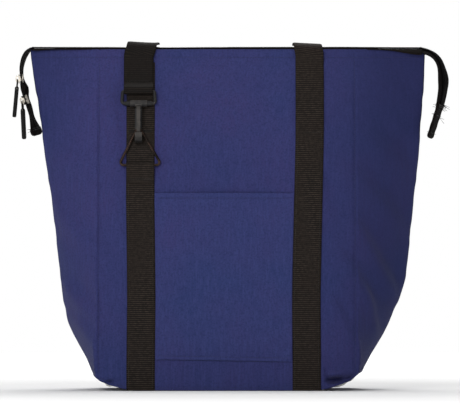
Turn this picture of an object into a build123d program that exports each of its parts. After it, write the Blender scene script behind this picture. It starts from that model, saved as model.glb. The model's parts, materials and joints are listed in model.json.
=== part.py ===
from build123d import *
from math import sin, cos, tan, radians, sqrt, hypot, atan2, degrees, pi
import os

# Insulated cooler tote, millimetres. +Z up, +X to the bag's right as seen from
# the front, -Y towards the front. Origin: middle of the flat base, on the floor.

# ---------------------------------------------------------------- driving sizes
PANEL_HALF = 178.0      # half width of the front and back panels, seam to seam
TOP_Z = 464.0           # height of the mouth's hemmed edge
FOLD_TOP = 265.0        # half length of the zipper between the two top corners
T_SHELL = 1.2           # woven outer shell
T_STACK = 7.0           # shell + foam + lining
GAP = 0.1               # air between layers
EDGE_LIFT = 0.6         # wall panels stop this far above the floor
STRAP_W = 38.0          # webbing width
T_WEB = 1.6             # webbing thickness
STRAP_L = -117.8        # middle of the left front strap
STRAP_R = 111.5         # middle of the right front strap
SEWN_TOP = 352.0        # straps are sewn to the panel up to here

# Heights of the body's sections: half depth, then where the left and the right
# gusset fold stands out to.
LEVELS = [
    # z,     half depth, left fold, right fold
    (17.6, 88.0, 181.0, 181.0),
    (41.0, 87.0, 190.0, 191.0),
    (68.0, 83.5, 205.0, 207.5),
    (95.0, 78.5, 217.5, 221.0),
    (122.0, 73.5, 221.7, 232.0),
    (150.0, 69.0, 225.5, 241.5),
    (190.0, 63.5, 230.0, 246.0),
    (258.0, 55.0, 238.0, 253.0),
    (326.0, 44.5, 248.0, 260.0),
    (394.0, 30.0, 257.0, 265.0),
    (440.0, 16.0, 264.5, 267.5),
    (455.0, 10.0, 266.5, 268.0),
    (TOP_Z, 9.0, 267.0, 268.0),
]
BASE_LINE = [(-178, 16), (-165, 7.9), (-150, 2.5), (-130, 0), (130, 0), (150, 2.5), (165, 7.9), (178, 16)]


def depth(z):
    """Half depth of the panel's outer face at height z."""
    if z <= LEVELS[0][0]:
        return LEVELS[0][1]
    for (z0, h0, *_), (z1, h1, *_) in zip(LEVELS, LEVELS[1:]):
        if z <= z1:
            return h0 + (h1 - h0) * (z - z0) / (z1 - z0)
    return LEVELS[-1][1]


def wall_profile(side, inner, outer, z_low, z_high):
    """Closed outline in (y, z) of a layer of a wall: from inner to outer, both
    measured outwards from the panel's outer face. side -1 front, +1 back."""
    zs = [z_low] + [l[0] for l in LEVELS if z_low + 0.5 < l[0] < z_high - 0.5] + [z_high]
    out = [(side * (depth(z) + outer), z) for z in zs]
    back = [(side * (depth(z) + inner), z) for z in reversed(zs)]
    return out + back


def mirrored(points):
    return [(-x, y) for x, y in points]


def chevron(h, fold, near, far):
    """Outline in (x, y) of one gusset layer at one height, for the right side:
    near and far are the layer's distances inwards from the outer face."""
    run = fold - PANEL_HALF
    length = hypot(run, h)
    nx, ny = h / length, run / length

    def end(t):
        return PANEL_HALF - t * nx, -h + t * ny

    def apex(t):
        return fold - t * length / h, 0.0

    (x0, y0), (x1, y1) = end(near), end(far)
    return [(x0, y0), apex(near), (x0, -y0), (x1, -y1), apex(far), (x1, y1)]


PARTS = []


def keep(builder, label):
    builder.part.label = label
    PARTS.append((label, builder.part))


# ------------------------------------------------------------ front and back walls
def wall_layer(side, inner, outer, half, z_low, z_high, foot):
    """One layer of the front or back wall, with its rounded lower corners."""
    with BuildPart() as layer:
        with BuildSketch(Plane.YZ.offset(-half)):
            with BuildLine():
                Polyline(*wall_profile(side, inner, outer, z_low, z_high), close=True)
            make_face()
        extrude(amount=2 * half)
        with BuildSketch(Plane.XZ):
            with BuildLine():
                Polyline(
                    *[(x, z + foot) for x, z in BASE_LINE],
                    (PANEL_HALF + 1, 17 + foot), (PANEL_HALF + 1, TOP_Z + 5),
                    (-PANEL_HALF - 1, TOP_Z + 5), (-PANEL_HALF - 1, 17 + foot), close=True)
            make_face()
        extrude(amount=150, both=True, mode=Mode.INTERSECT)
    return layer


for word, side in (("front", -1), ("back", 1)):
    keep(wall_layer(side, -T_SHELL, 0.0, PANEL_HALF, 0.0, TOP_Z, EDGE_LIFT), word + "_panel")
    keep(wall_layer(side, -6.2, -1.3, PANEL_HALF - 0.2, 1.4, TOP_Z - 0.5, 1.4), word + "_foam")
    keep(wall_layer(side, -T_STACK, -6.3, PANEL_HALF - 0.4, 9.6, TOP_Z - 0.5, 1.4), word + "_lining")

# ------------------------------------------------------------------------ gussets
for word, column, sign in (("left", 2, -1), ("right", 3, 1)):
    for layer_name, near, far in (("gusset", 0.0, T_SHELL), ("gusset_foam", 1.3, 6.2), ("gusset_lining", 6.3, T_STACK)):
        with BuildPart() as gusset:
            for level in LEVELS:
                outline = chevron(level[1], level[column], near, far)
                if sign < 0:
                    outline = mirrored(outline)
                with BuildSketch(Plane.XY.offset(level[0] - (0.5 if near and level[0] == TOP_Z else 0))):
                    with BuildLine():
                        Polyline(*outline, close=True)
                    make_face()
            loft(ruled=True)
            # the walls own the corners
            for side in (-1, 1):
                with BuildSketch(Plane.YZ.offset(-PANEL_HALF - GAP)):
                    with BuildLine():
                        Polyline(*wall_profile(side, -T_STACK - GAP, 4.0, -1, TOP_Z + 2), close=True)
                    make_face()
                extrude(amount=2 * (PANEL_HALF + GAP), mode=Mode.SUBTRACT)
        keep(gusset, word + "_" + layer_name)

# --------------------------------------------------------------------------- base
with BuildPart() as base_panel:
    with BuildSketch(Plane.XZ):
        with BuildLine():
            Polyline(*BASE_LINE, *[(x, z + T_SHELL) for x, z in reversed(BASE_LINE)], close=True)
        make_face()
    extrude(amount=86.6, both=True)
keep(base_panel, "base_panel")

with BuildPart() as base_board:
    with Locations((0, 0, 2.4)):
        Box(256, 160, 2.0)
    fillet(base_board.edges().filter_by(Axis.Z), 8)
keep(base_board, "base_board")

with BuildPart() as base_foam:
    with Locations((0, 0, 6.0)):
        Box(290, 161, 4.8)
keep(base_foam, "base_foam")

with BuildPart() as base_lining:
    with Locations((0, 0, 8.95)):
        Box(322, 161, 0.8)
keep(base_lining, "base_lining")

# -------------------------------------------------------------------- sewn straps
half_w = STRAP_W / 2
FRONT_TURN = [(-11.2, 460.0), (-10.6, 466.2), (-7.2, 469.6), (-0.4, 470.4)]   # inner face of the turn over the mouth


def thick_line(points, t):
    """A line of (y, z) points, then the same line pushed out by t on its left
    hand side, so that the two make a closed outline."""
    out = []
    for i, (y, z) in enumerate(points):
        a = points[max(i - 1, 0)]
        b = points[min(i + 1, len(points) - 1)]
        dy, dz = b[0] - a[0], b[1] - a[1]
        n = hypot(dy, dz)
        out.append((y - dz / n * t, z + dy / n * t))
    return list(points) + out[::-1]


def wall_line(side, off, z_low, z_high):
    zs = [z_low] + [l[0] for l in LEVELS if z_low + 0.5 < l[0] < z_high - 0.5] + [z_high]
    return [(side * (depth(z) + off), z) for z in zs]


with BuildPart() as front_left_strap:
    with BuildSketch(Plane.YZ.offset(STRAP_L - half_w)):
        with BuildLine():
            Polyline(*thick_line(wall_line(-1, GAP, EDGE_LIFT, 461.0), T_WEB), close=True)
        make_face()
    extrude(amount=STRAP_W)
keep(front_left_strap, "front_left_strap")

with BuildPart() as front_right_strap:
    with BuildSketch(Plane.YZ.offset(STRAP_R - half_w)):
        with BuildLine():
            Polyline(*thick_line(wall_line(-1, GAP, EDGE_LIFT, 452.0) + FRONT_TURN, T_WEB), close=True)
        make_face()
    extrude(amount=STRAP_W)
keep(front_right_strap, "front_right_strap")

# The back straps carry on past their sewn top and fold outwards, where the back
# handle hangs down.
BACK_PIVOT = (depth(356) + 9.0, 356.0)
for word, x in (("left", STRAP_L), ("right", STRAP_R)):
    with BuildPart() as back_strap:
        with BuildSketch(Plane.YZ.offset(x - half_w)):
            with BuildLine():
                up = wall_line(1, GAP, EDGE_LIFT, 350.0)
                py, pz = BACK_PIVOT
                r_in = py - (depth(356) + GAP) - T_WEB
                bend = [(py - (r_in + T_WEB) * cos(radians(a)), pz + (r_in + T_WEB) * sin(radians(a))) for a in (15, 45, 75, 105, 135, 165)]
                bend_in = [(py - r_in * cos(radians(a)), pz + r_in * sin(radians(a))) for a in (165, 135, 105, 75, 45, 15)]
                up_out = [(y + T_WEB, z) for y, z in up]
                Polyline(*up, *bend, *bend_in, *up_out[::-1], close=True)
            make_face()
        extrude(amount=STRAP_W)
    keep(back_strap, "back_" + word + "_strap")

# -------------------------------------------------- clip end of the front handle
HOOK_X = STRAP_L - 2.5


def on_wall(z, s):
    """(y, z) of the point s off the front wall, square to it, at height z."""
    lean = atan2(depth(z - 3) - depth(z + 3), 6)
    return -(depth(z) + s * cos(lean)), z + s * sin(lean)


# The clip lies along the wall: s is measured out from the wall, v down its slope,
# both from the wall's point at the frame's lower bar.
CLIP_Z = 388.0
CLIP_LEAN = atan2(depth(340) - depth(388), 48)


def clip_point(s, v):
    return (-depth(CLIP_Z) - s * cos(CLIP_LEAN) - v * sin(CLIP_LEAN), CLIP_Z + s * sin(CLIP_LEAN) - v * cos(CLIP_LEAN))


def clip_plane(x):
    return Plane(origin=(x, -depth(CLIP_Z), CLIP_Z), x_dir=(0, -cos(CLIP_LEAN), sin(CLIP_LEAN)), z_dir=(1, 0, 0))


BAR_S, BAR_V = 6.6, -17.0                      # frame's upper bar, held in the webbing's fold
PIVOT_S = 7.4                                  # frame's lower bar, the hook's own pivot
BAR_R = 2.1
LOOP_IN, LOOP_OUT = 2.4, 4.0
bar_y, bar_z = clip_point(BAR_S, BAR_V)
pivot_y, pivot_z = clip_point(PIVOT_S, 0)

with BuildPart() as hook_tab:
    with BuildSketch(Plane.YZ.offset(HOOK_X - half_w)):
        with BuildLine():
            top = wall_line(-1, 2.0, 422.0, 450.0)
            turn = [(-13.4, 459.0), (-12.3, 467.4), (-8.4, 471.6), (-0.4, 472.4)]
            Polyline(*thick_line(top + turn, T_WEB), close=True)
        make_face()
        with Locations((bar_y, bar_z)):
            Circle(LOOP_OUT)
        with BuildLine():
            Polyline((bar_y - LOOP_OUT * 0.97, bar_z + 0.4), (bar_y + LOOP_OUT * 0.99, bar_z + 0.2), on_wall(414, 2.5),
                     (-(depth(422) + 2.0), 422.0), (-(depth(424) + 2.0 + T_WEB), 424.0), on_wall(419, 2.1 + 2 * T_WEB), close=True)
        make_face()
        with Locations((bar_y, bar_z)):
            Circle(LOOP_IN, mode=Mode.SUBTRACT)
    extrude(amount=STRAP_W)
keep(hook_tab, "hook_tab")

RING_Z = 305.0
WIRE = 1.7
RLOOP_IN, RLOOP_OUT = 2.0, 3.5
ring_y, ring_z = on_wall(RING_Z, 5.6)
with BuildPart() as ring_tab:
    with BuildSketch(Plane.YZ.offset(STRAP_L - half_w + 0.4)):
        with Locations((ring_y, ring_z)):
            Circle(RLOOP_OUT)
        with BuildLine():
            Polyline((ring_y - RLOOP_OUT * 0.98, ring_z - 0.5), (ring_y + RLOOP_OUT * 0.98, ring_z - 0.5),
                     on_wall(291, 2.0), on_wall(283, 2.0), on_wall(283, 2.0 + 2 * T_WEB), on_wall(290, 2.1 + 2 * T_WEB), close=True)
        make_face()
        with Locations((ring_y, ring_z)):
            Circle(RLOOP_IN, mode=Mode.SUBTRACT)
    extrude(amount=STRAP_W - 0.8)
keep(ring_tab, "ring_tab")

# ------------------------------------------------------------------ triangle ring
RING_S = 8.2                                   # the ring's point sits this far off the wall, in the hook's eye
ring_top = clip_point(RING_S, 36.0)
lean = atan2(ring_top[0] - ring_y, ring_top[1] - ring_z)
with BuildPart() as triangle_ring:
    ring_plane = Plane(origin=(STRAP_L, ring_y, ring_z), x_dir=(1, 0, 0), z_dir=(0, -cos(lean), sin(lean)))
    with BuildLine(ring_plane):
        wire = FilletPolyline((0, 0), (29.0, 0), (-2.5, 53.8), (-29.0, 0), (-0.001, 0), radius=[4.0, 4.2, 4.0])
    with BuildSketch(Plane(origin=wire @ 0, z_dir=wire % 0)):
        Circle(WIRE)
    sweep(path=wire)
keep(triangle_ring, "triangle_ring")

# ------------------------------------------------------- snap hook, frame and gate
with BuildPart() as hook_frame:
    up_y, up_z = bar_y - pivot_y, bar_z - pivot_z
    span = hypot(up_y, up_z)
    frame_plane = Plane(origin=(HOOK_X, pivot_y, pivot_z), x_dir=(1, 0, 0), z_dir=(0, -up_z / span, up_y / span))
    with BuildLine(frame_plane):
        rim = FilletPolyline((0, span), (21.6, span), (22.8, 0), (-22.8, 0), (-21.6, span), (-0.001, span), radius=[2.4, 4.0, 4.0, 2.4])
    with BuildSketch(Plane(origin=rim @ 0, z_dir=rim % 0)):
        Circle(BAR_R)
    sweep(path=rim)
    # collars beside the hook's head
    for sx in (-1, 1):
        with BuildSketch(Plane(origin=(HOOK_X + sx * 12.1, pivot_y, pivot_z), z_dir=(sx, 0, 0))):
            Circle(3.3)
        extrude(amount=5.6)
keep(hook_frame, "hook_frame")

HEAD_HALF = 11.6
HOOK_HALF = 4.8
with BuildPart() as snap_hook:
    # head: a sleeve on the frame's lower bar
    with BuildSketch(clip_plane(HOOK_X - HEAD_HALF)):
        with Locations((PIVOT_S, 0)):
            RectangleRounded(9.4, 8.6, 2.6)
            Circle(BAR_R + 0.3, mode=Mode.SUBTRACT)
    extrude(amount=2 * HEAD_HALF)
    # shank, bowl and nose: one outline across the hook's width
    with BuildSketch(clip_plane(HOOK_X - HOOK_HALF)):
        with BuildLine():
            Polyline((2.75, 2.6), (2.6, 46.5), (3.6, 52.1), (7.0, 54.9), (11.6, 55.2), (15.9, 53.4), (18.4, 49.1), (18.6, 42.4),
                     (15.8, 42.0), (15.6, 47.9), (13.2, 50.5), (8.6, 50.5), (6.0, 49.1), (5.3, 46.5), (5.3, 10.0), (6.6, 4.1), (4.2, 2.8), close=True)
        make_face()
    extrude(amount=2 * HOOK_HALF)
    # brow that the gate hangs from
    with BuildSketch(clip_plane(HOOK_X - HOOK_HALF)):
        with BuildLine():
            Polyline((8.0, 4.0), (11.9, 1.5), (15.6, 2.4), (16.6, 4.6), (12.4, 6.4), (9.0, 6.2), close=True)
        make_face()
    extrude(amount=2 * HOOK_HALF)
    # stiffening grooves down both sides of the shank
    for sx in (-1, 1):
        with BuildSketch(clip_plane(HOOK_X + (HOOK_HALF - 0.9) * sx + (-0.0 if sx > 0 else -1.2))):
            with BuildLine():
                Polyline((3.4, 12.0), (4.5, 12.0), (4.5, 40.0), (3.4, 40.0), close=True)
            make_face()
        extrude(amount=1.2, mode=Mode.SUBTRACT)
keep(snap_hook, "snap_hook")

GATE_S, GATE_V = 14.6, 7.2                     # where the gate's tongue flexes from the brow
gate_y, gate_z = clip_point(GATE_S, GATE_V)
with BuildPart() as hook_gate:
    with BuildSketch(clip_plane(HOOK_X - 2.6)):
        with BuildLine():
            Polyline((13.2, 7.0), (16.2, 5.6), (17.3, 12.0), (17.4, 36.0), (16.4, 40.6), (15.2, 42.4), (15.1, 46.4), (13.9, 46.4),
                     (14.1, 41.6), (15.2, 36.0), (15.1, 12.0), close=True)
        make_face()
    extrude(amount=5.2)
keep(hook_gate, "hook_gate")

# --------------------------------------------------------------- handles (ribbons)
def ribbon_planes(stations):
    """Section planes down a webbing ribbon. Each station is a point on its middle
    line and the angle in degrees by which its width has turned from X to Y."""
    planes = []
    for i, (p, turn) in enumerate(stations):
        a = Vector(*stations[max(i - 1, 0)][0])
        b = Vector(*stations[min(i + 1, len(stations) - 1)][0])
        t = (b - a).normalized()
        w = Vector(cos(radians(turn)), sin(radians(turn)), 0)
        w = (w - t * w.dot(t)).normalized()
        planes.append(Plane(origin=p, x_dir=w, z_dir=t))
    return planes


def whole_loop(left_half, middle):
    """The left half's stations, then their mirror about x = middle, with the
    width turning on the same way so that the ribbon never reverses."""
    right = [((2 * middle - p[0], p[1], p[2]), 180.0 - turn) for p, turn in reversed(left_half[:-1])]
    return left_half + right


MIDDLE = (HOOK_X + STRAP_R) / 2
FRONT_PIVOT = (0.0, 464.0)
FRONT_DRAPE = [
    ((HOOK_X, 18.6, 454.5), 0.0),
    ((HOOK_X + 4, 25.6, 436.0), 14.0),
    ((HOOK_X + 15, 41.5, 408.0), 45.0),
    ((HOOK_X + 23, 48.5, 393.0), 62.0),
    ((HOOK_X + 33, 56.0, 376.0), 76.0),
    ((HOOK_X + 51, 65.0, 341.0), 88.0),
    ((HOOK_X + 70, 71.5, 305.0), 90.0),
    ((HOOK_X + 88, 75.6, 278.0), 90.0),
    ((HOOK_X + 102, 77.4, 264.0), 90.0),
    ((MIDDLE, 78.0, 259.0), 90.0),
]
with BuildPart() as front_handle:
    for plane in ribbon_planes(whole_loop(FRONT_DRAPE, MIDDLE)):
        with BuildSketch(plane):
            Rectangle(STRAP_W, T_WEB)
    loft(ruled=True)
keep(front_handle, "front_handle")

# webbing that turns over the back edge of the mouth, between the front straps and the drape
for word, x, lift in (("left", HOOK_X, 2.0), ("right", STRAP_R, 0.0)):
    with BuildPart() as turn_over:
        with BuildSketch(Plane.YZ.offset(x - half_w)):
            with BuildLine():
                line = [(0.4, 470.4 + lift), (7.2, 469.6 + lift), (10.6, 466.2 + lift / 2), (11.4, 458.6)]
                Polyline(*thick_line(line, T_WEB), close=True)
            make_face()
        extrude(amount=STRAP_W)
    keep(turn_over, "front_handle_" + word + "_turn")

by, bz = BACK_PIVOT
BMID = (STRAP_L + STRAP_R) / 2
BACK_DRAPE = [
    ((STRAP_L, by + 12.5, bz - 9.0), 0.0),
    ((STRAP_L, by + 17.0, bz - 30.0), 0.0),
    ((STRAP_L, by + 25.0, bz - 64.0), 6.0),
    ((STRAP_L + 1, by + 35.0, bz - 100.0), 24.0),
    ((STRAP_L + 5, by + 46.5, bz - 138.0), 56.0),
    ((STRAP_L + 15, by + 54.5, bz - 178.0), 82.0),
    ((STRAP_L + 34, by + 60.0, bz - 214.0), 90.0),
    ((STRAP_L + 60, by + 64.0, bz - 244.0), 90.0),
    ((STRAP_L + 85, by + 66.4, bz - 260.0), 90.0),
    ((STRAP_L + 102, by + 67.2, bz - 266.0), 90.0),
    ((BMID, by + 67.5, bz - 268.0), 90.0),
]
with BuildPart() as back_handle:
    for plane in ribbon_planes(whole_loop(BACK_DRAPE, BMID)):
        with BuildSketch(plane):
            Rectangle(STRAP_W, T_WEB)
    loft(ruled=True)
keep(back_handle, "back_handle")

# ------------------------------------------------------------------- front pocket
POCKET_L, POCKET_R = STRAP_L + half_w + 0.3, STRAP_R - half_w - 0.3
POCKET_LOW, POCKET_HIGH = 42.0, 268.0
POCKET_ROOM = 8.0
with BuildPart() as front_pocket:
    with BuildSketch(Plane.YZ.offset(POCKET_L)):
        with BuildLine():
            Polyline(*wall_profile(-1, 0.3, POCKET_ROOM + T_SHELL, POCKET_LOW, POCKET_HIGH), close=True)
        make_face()
    extrude(amount=POCKET_R - POCKET_L)
    with BuildSketch(Plane.YZ.offset(POCKET_L + 5)):
        with BuildLine():
            Polyline(*wall_profile(-1, -0.5, POCKET_ROOM, POCKET_LOW + 6, POCKET_HIGH + 1), close=True)
        make_face()
    extrude(amount=POCKET_R - POCKET_L - 10, mode=Mode.SUBTRACT)
    # folded hem along the pocket's mouth
    with BuildSketch(Plane.YZ.offset(POCKET_L + 5)):
        with BuildLine():
            Polyline(*wall_profile(-1, POCKET_ROOM - 0.6, POCKET_ROOM + 0.1, POCKET_HIGH - 8, POCKET_HIGH), close=True)
        make_face()
    extrude(amount=POCKET_R - POCKET_L - 10)
keep(front_pocket, "front_pocket")

# ------------------------------------------------------------------------- zipper
SLIT = 1.0                                     # half the gap that a slider's wedge runs in
TAPE_T = 0.8
TAPE_HALF = 14.0
COIL_W, COIL_H = 2.3, 2.4
for word, side in (("front", -1), ("back", 1)):
    with BuildPart() as tape:
        with BuildSketch(Plane.YZ.offset(-FOLD_TOP)):
            with BuildLine():
                Polyline((side * SLIT, 464.3), (side * 8.9, 464.3), (side * 8.9, 464.3 + TAPE_T), (side * SLIT, 464.3 + TAPE_T), close=True)
            make_face()
        extrude(amount=2 * FOLD_TOP)
    keep(tape, "zipper_tape_" + word)
    with BuildPart() as coil:
        with BuildSketch(Plane.YZ.offset(-FOLD_TOP)):
            with Locations((side * (SLIT + COIL_W / 2), 464.3 + TAPE_T + COIL_H / 2)):
                RectangleRounded(COIL_W, COIL_H, 0.9)
        extrude(amount=2 * FOLD_TOP)
    keep(coil, "zipper_coil_" + word)

# Tails: the closed zipper runs on past each top corner and droops.
TAIL_Z0 = 464.3 + TAPE_T / 2
LEFT_TAIL = [((-265.5, 0, TAIL_Z0), 0), ((-269.0, 0, 463.4), 0), ((-273.4, 0, 458.6), 0), ((-277.4, 0, 450.4), 0), ((-280.2, 0, 437.6), 0),
             ((-279.8, 0, 411.0), 0), ((-276.8, 0, 403.0), 14.0), ((-260.5, 0, 353.0), 14.0)]
RIGHT_TAIL = [((265.4, 0, TAIL_Z0), 0), ((277.5, 0, 461.5), 0), ((286.5, 0, 452.5), 8), ((292.0, 0, 441.0), 16), ((295.2, 0, 423.0), 34),
              ((294.4, 0, 406.0), 24), ((291.2, 0, 391.0), 18), ((286.4, 0, 376.0), 20), ((278.0, 0, 349.0), 20)]


def tail_planes(stations, mirror):
    """Section planes: x_dir is the tape's width, y_dir its coil side."""
    planes = []
    for i, (p, turn) in enumerate(stations):
        a = Vector(*stations[max(i - 1, 0)][0])
        b = Vector(*stations[min(i + 1, len(stations) - 1)][0])
        t = (b - a).normalized()
        out = Vector(0, 1, 0).cross(t)
        out = out if out.X * mirror > 0 or out.Z > 0.5 else out * -1
        w = Vector(0, 1, 0) * cos(radians(turn)) - out * sin(radians(turn))
        planes.append((Plane(origin=p, x_dir=w, z_dir=t), 1 if w.cross(out).dot(t) > 0 else -1))
    return planes


def tail_solid(planes, strips):
    """Lofts each strip (x low, x high, y low, y high) down the tail."""
    with BuildPart() as tail:
        for x0, x1, y0, y1 in strips:
            with BuildPart(mode=Mode.PRIVATE) as strip:
                for plane, flip in planes:
                    with BuildSketch(plane):
                        with Locations(((x0 + x1) / 2, flip * (y0 + y1) / 2)):
                            Rectangle(x1 - x0, y1 - y0)
                loft(ruled=True)
            add(strip.part)
    return tail


TAPES = [(-TAPE_HALF, -SLIT, -TAPE_T / 2, TAPE_T / 2), (SLIT, TAPE_HALF, -TAPE_T / 2, TAPE_T / 2)]
COILS = [(-SLIT - COIL_W, -SLIT, TAPE_T / 2, TAPE_T / 2 + COIL_H), (SLIT, SLIT + COIL_W, TAPE_T / 2, TAPE_T / 2 + COIL_H)]
for name, stations, mirror in (("left_tail", LEFT_TAIL, -1), ("right_tail", RIGHT_TAIL, 1)):
    planes = tail_planes(stations, mirror)
    keep(tail_solid(planes, TAPES), name + "_tape")
    keep(tail_solid(planes, COILS), name + "_coil")

# end wraps: the tape's end folded back and sewn
for word, stations, mirror in (("left", LEFT_TAIL, -1), ("right", RIGHT_TAIL, 1)):
    (last, flip) = tail_planes(stations, mirror)[-1]
    with BuildPart() as end_wrap:
        with BuildSketch(last):
            Rectangle(2 * TAPE_HALF + 1.0, 5.2)
        extrude(amount=5.0)
        fillet(end_wrap.edges().filter_by(lambda e: abs((e % 0.5).dot(last.z_dir)) > 0.9), 1.5)
        with BuildSketch(last):
            Rectangle(2 * TAPE_HALF + 2.2, 6.6)
        extrude(amount=-0.1, mode=Mode.SUBTRACT)
    keep(end_wrap, word + "_tail_end")

# sliders: top and bottom plate joined by a wedge that runs in the slit, and a
# bridge on top that holds the pull's wire
SLIDER_L, SLIDER_W = 12.5, 10.4


def on_tail(i, share):
    """A plane on the left tail's straight stretch i: x across, y out from the coil, z down the tail."""
    p, q = Vector(*LEFT_TAIL[i][0]), Vector(*LEFT_TAIL[i + 1][0])
    t = (q - p).normalized()
    out = Vector(0, 1, 0).cross(t)
    out = out if out.X < 0 else out * -1
    turn = radians(LEFT_TAIL[i + 1][1])
    w = Vector(0, 1, 0) * cos(turn) - out * sin(turn)
    o = w.cross(t)
    o = o if o.X < 0 else o * -1
    return p + (q - p) * share, t, w, o


SLIDERS = (("upper", 4, 0.52), ("lower", 6, 0.15))
for word, i, share in SLIDERS:
    c, t, w, o = on_tail(i, share)
    flat = Plane(origin=c, x_dir=w, z_dir=o)
    ly = flat.y_dir.dot(t)                      # +1 or -1: which way local y runs
    with BuildPart() as slider:
        with BuildSketch(flat.offset(TAPE_T / 2 + COIL_H + 0.35)):
            RectangleRounded(SLIDER_W, SLIDER_L, 3.0)
        extrude(amount=1.3)
        with BuildSketch(flat.offset(-TAPE_T / 2 - 0.35)):
            RectangleRounded(SLIDER_W, SLIDER_L, 3.0)
        extrude(amount=-1.2)
        with BuildSketch(flat.offset(-TAPE_T / 2 - 0.5)):
            Rectangle(1.3, 5.0)
        extrude(amount=TAPE_T + COIL_H + 1.2)
        # side rails, hanging from the top plate down to just above the tape
        with BuildSketch(flat.offset(TAPE_T / 2 + 0.35)):
            with Locations((-SLIDER_W / 2 + 0.6, 0), (SLIDER_W / 2 - 0.6, 0)):
                Rectangle(1.2, SLIDER_L - 6.0)
        extrude(amount=COIL_H + 0.3)
        # bridge
        bridge = Plane(origin=c + o * (TAPE_T / 2 + COIL_H + 1.6), x_dir=t, z_dir=w)
        up = 1 if bridge.y_dir.dot(o) > 0 else -1
        with BuildSketch(bridge.offset(-1.1)):
            with BuildLine():
                Polyline((-4.6, 0), (-4.4, up * 2.8), (-3.0, up * 3.9), (3.0, up * 3.9), (4.4, up * 2.8), (4.6, 0),
                         (3.2, 0), (3.0, up * 2.3), (2.4, up * 2.6), (-2.4, up * 2.6), (-3.0, up * 2.3), (-3.2, 0), close=True)
            make_face()
        extrude(amount=2.2)
    keep(slider, "zipper_slider_" + word)

# pulls: a wire loop through the bridge, moulded onto a long tab
PULL_R = 0.8
PULLS = {}
for word, i, share in SLIDERS:
    c, t, w, o = on_tail(i, share)
    hole = c + o * (TAPE_T / 2 + COIL_H + 1.6 + 1.35) + t * 1.4
    drop = Vector(-0.09, 0, -1) if word == "upper" else Vector(0.03, 0, -1)
    drop = (drop - w * drop.dot(w)).normalized()
    face = Plane(origin=hole, x_dir=w, z_dir=w.cross(drop))
    ly = 1 if face.y_dir.dot(drop) > 0 else -1
    PULLS[word] = (hole, w, drop)
    with BuildPart() as wire_loop:
        with BuildLine(face):
            loop = FilletPolyline((0, 0), (2.7, 0), (2.7, ly * 11.6), (-2.7, ly * 11.6), (-2.7, 0), (-0.001, 0), radius=1.2)
        with BuildSketch(Plane(origin=loop @ 0, z_dir=loop % 0)):
            Circle(PULL_R)
        sweep(path=loop)
    keep(wire_loop, "pull_wire_" + word)
    tab_face = Plane(origin=hole + drop * (9.2 + 21.0), x_dir=w, z_dir=w.cross(drop))
    with BuildPart() as pull_tab:
        with BuildSketch(tab_face.offset(-2.7)):
            RectangleRounded(7.6, 42.0, 3.7)
        extrude(amount=5.4)
        fillet(pull_tab.edges().filter_by(lambda e: e.length > 20), 1.6)
        # pocket for the wire loop
        slot = Plane(origin=hole + drop * 10.6, x_dir=w, z_dir=w.cross(drop))
        with BuildSketch(slot.offset(-1.0)):
            Rectangle(7.8, 4.2)
        extrude(amount=2.0, mode=Mode.SUBTRACT)
    keep(pull_tab, "pull_tab_" + word)

os.makedirs("parts", exist_ok=True)
for old in os.listdir("parts"):
    if old.endswith(".step"):
        os.remove(os.path.join("parts", old))
for label, shape in PARTS:
    solids = shape.solids()
    print(label, len(solids), round(sum(s.volume for s in solids), 1), all(s.is_valid for s in solids))
    export_step(shape, "parts/" + label + ".step")
print("back pivot", BACK_PIVOT, "bar", bar_y, bar_z, "pivot", pivot_y, pivot_z, "ring", ring_y, ring_z, "gate", gate_y, gate_z)
for word, i, share in SLIDERS:
    c, t, w, o = on_tail(i, share)
    print("slider", word, tuple(round(v, 3) for v in c), "along", tuple(round(v, 4) for v in t), "across", tuple(round(v, 4) for v in w), "hole", tuple(round(v, 3) for v in PULLS[word][0]))
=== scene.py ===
import json
import math
import bpy
import numpy as np
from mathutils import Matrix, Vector


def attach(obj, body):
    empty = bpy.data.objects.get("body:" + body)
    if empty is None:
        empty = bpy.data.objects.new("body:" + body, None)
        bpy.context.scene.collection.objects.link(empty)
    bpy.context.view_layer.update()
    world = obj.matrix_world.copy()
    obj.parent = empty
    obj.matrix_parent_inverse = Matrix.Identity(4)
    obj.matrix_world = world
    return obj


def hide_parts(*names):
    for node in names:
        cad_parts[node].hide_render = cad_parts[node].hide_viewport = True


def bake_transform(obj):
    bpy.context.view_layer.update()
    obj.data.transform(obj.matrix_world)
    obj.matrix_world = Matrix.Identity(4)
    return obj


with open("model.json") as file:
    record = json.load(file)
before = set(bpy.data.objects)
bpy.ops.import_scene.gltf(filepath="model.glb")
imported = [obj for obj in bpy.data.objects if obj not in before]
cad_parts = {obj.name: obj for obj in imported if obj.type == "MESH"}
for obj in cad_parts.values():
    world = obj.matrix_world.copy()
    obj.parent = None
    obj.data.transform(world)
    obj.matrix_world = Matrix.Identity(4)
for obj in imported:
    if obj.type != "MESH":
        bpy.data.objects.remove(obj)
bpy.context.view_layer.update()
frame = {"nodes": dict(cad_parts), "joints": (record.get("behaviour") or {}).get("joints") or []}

MM = 0.001
PI = math.pi

# ------------------------------------------------------------------ the bag's form, mm
LEVELS = np.array([
    # z, half depth, left fold, right fold
    (0.0, 88.0, 178.0, 178.0), (17.6, 88.0, 181.0, 181.0), (41.0, 87.0, 190.0, 191.0), (68.0, 83.5, 205.0, 207.5),
    (95.0, 78.5, 217.5, 221.0), (122.0, 73.5, 221.7, 232.0), (150.0, 69.0, 225.5, 241.5), (190.0, 63.5, 230.0, 246.0),
    (258.0, 55.0, 238.0, 253.0), (326.0, 44.5, 248.0, 260.0), (394.0, 30.0, 257.0, 265.0), (440.0, 16.0, 264.5, 267.5),
    (455.0, 10.0, 266.5, 268.0), (464.0, 9.0, 267.0, 268.0)])
BASE_L = np.array([(0, 0), (126, 0), (140, 2.4), (159, 7.8), (172, 13.2), (178, 18)], float)
BASE_R = np.array([(0, 0), (116, 0), (124, 0.5), (138, 2.9), (152, 7.9), (167, 14.0), (178, 23)], float)
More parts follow.
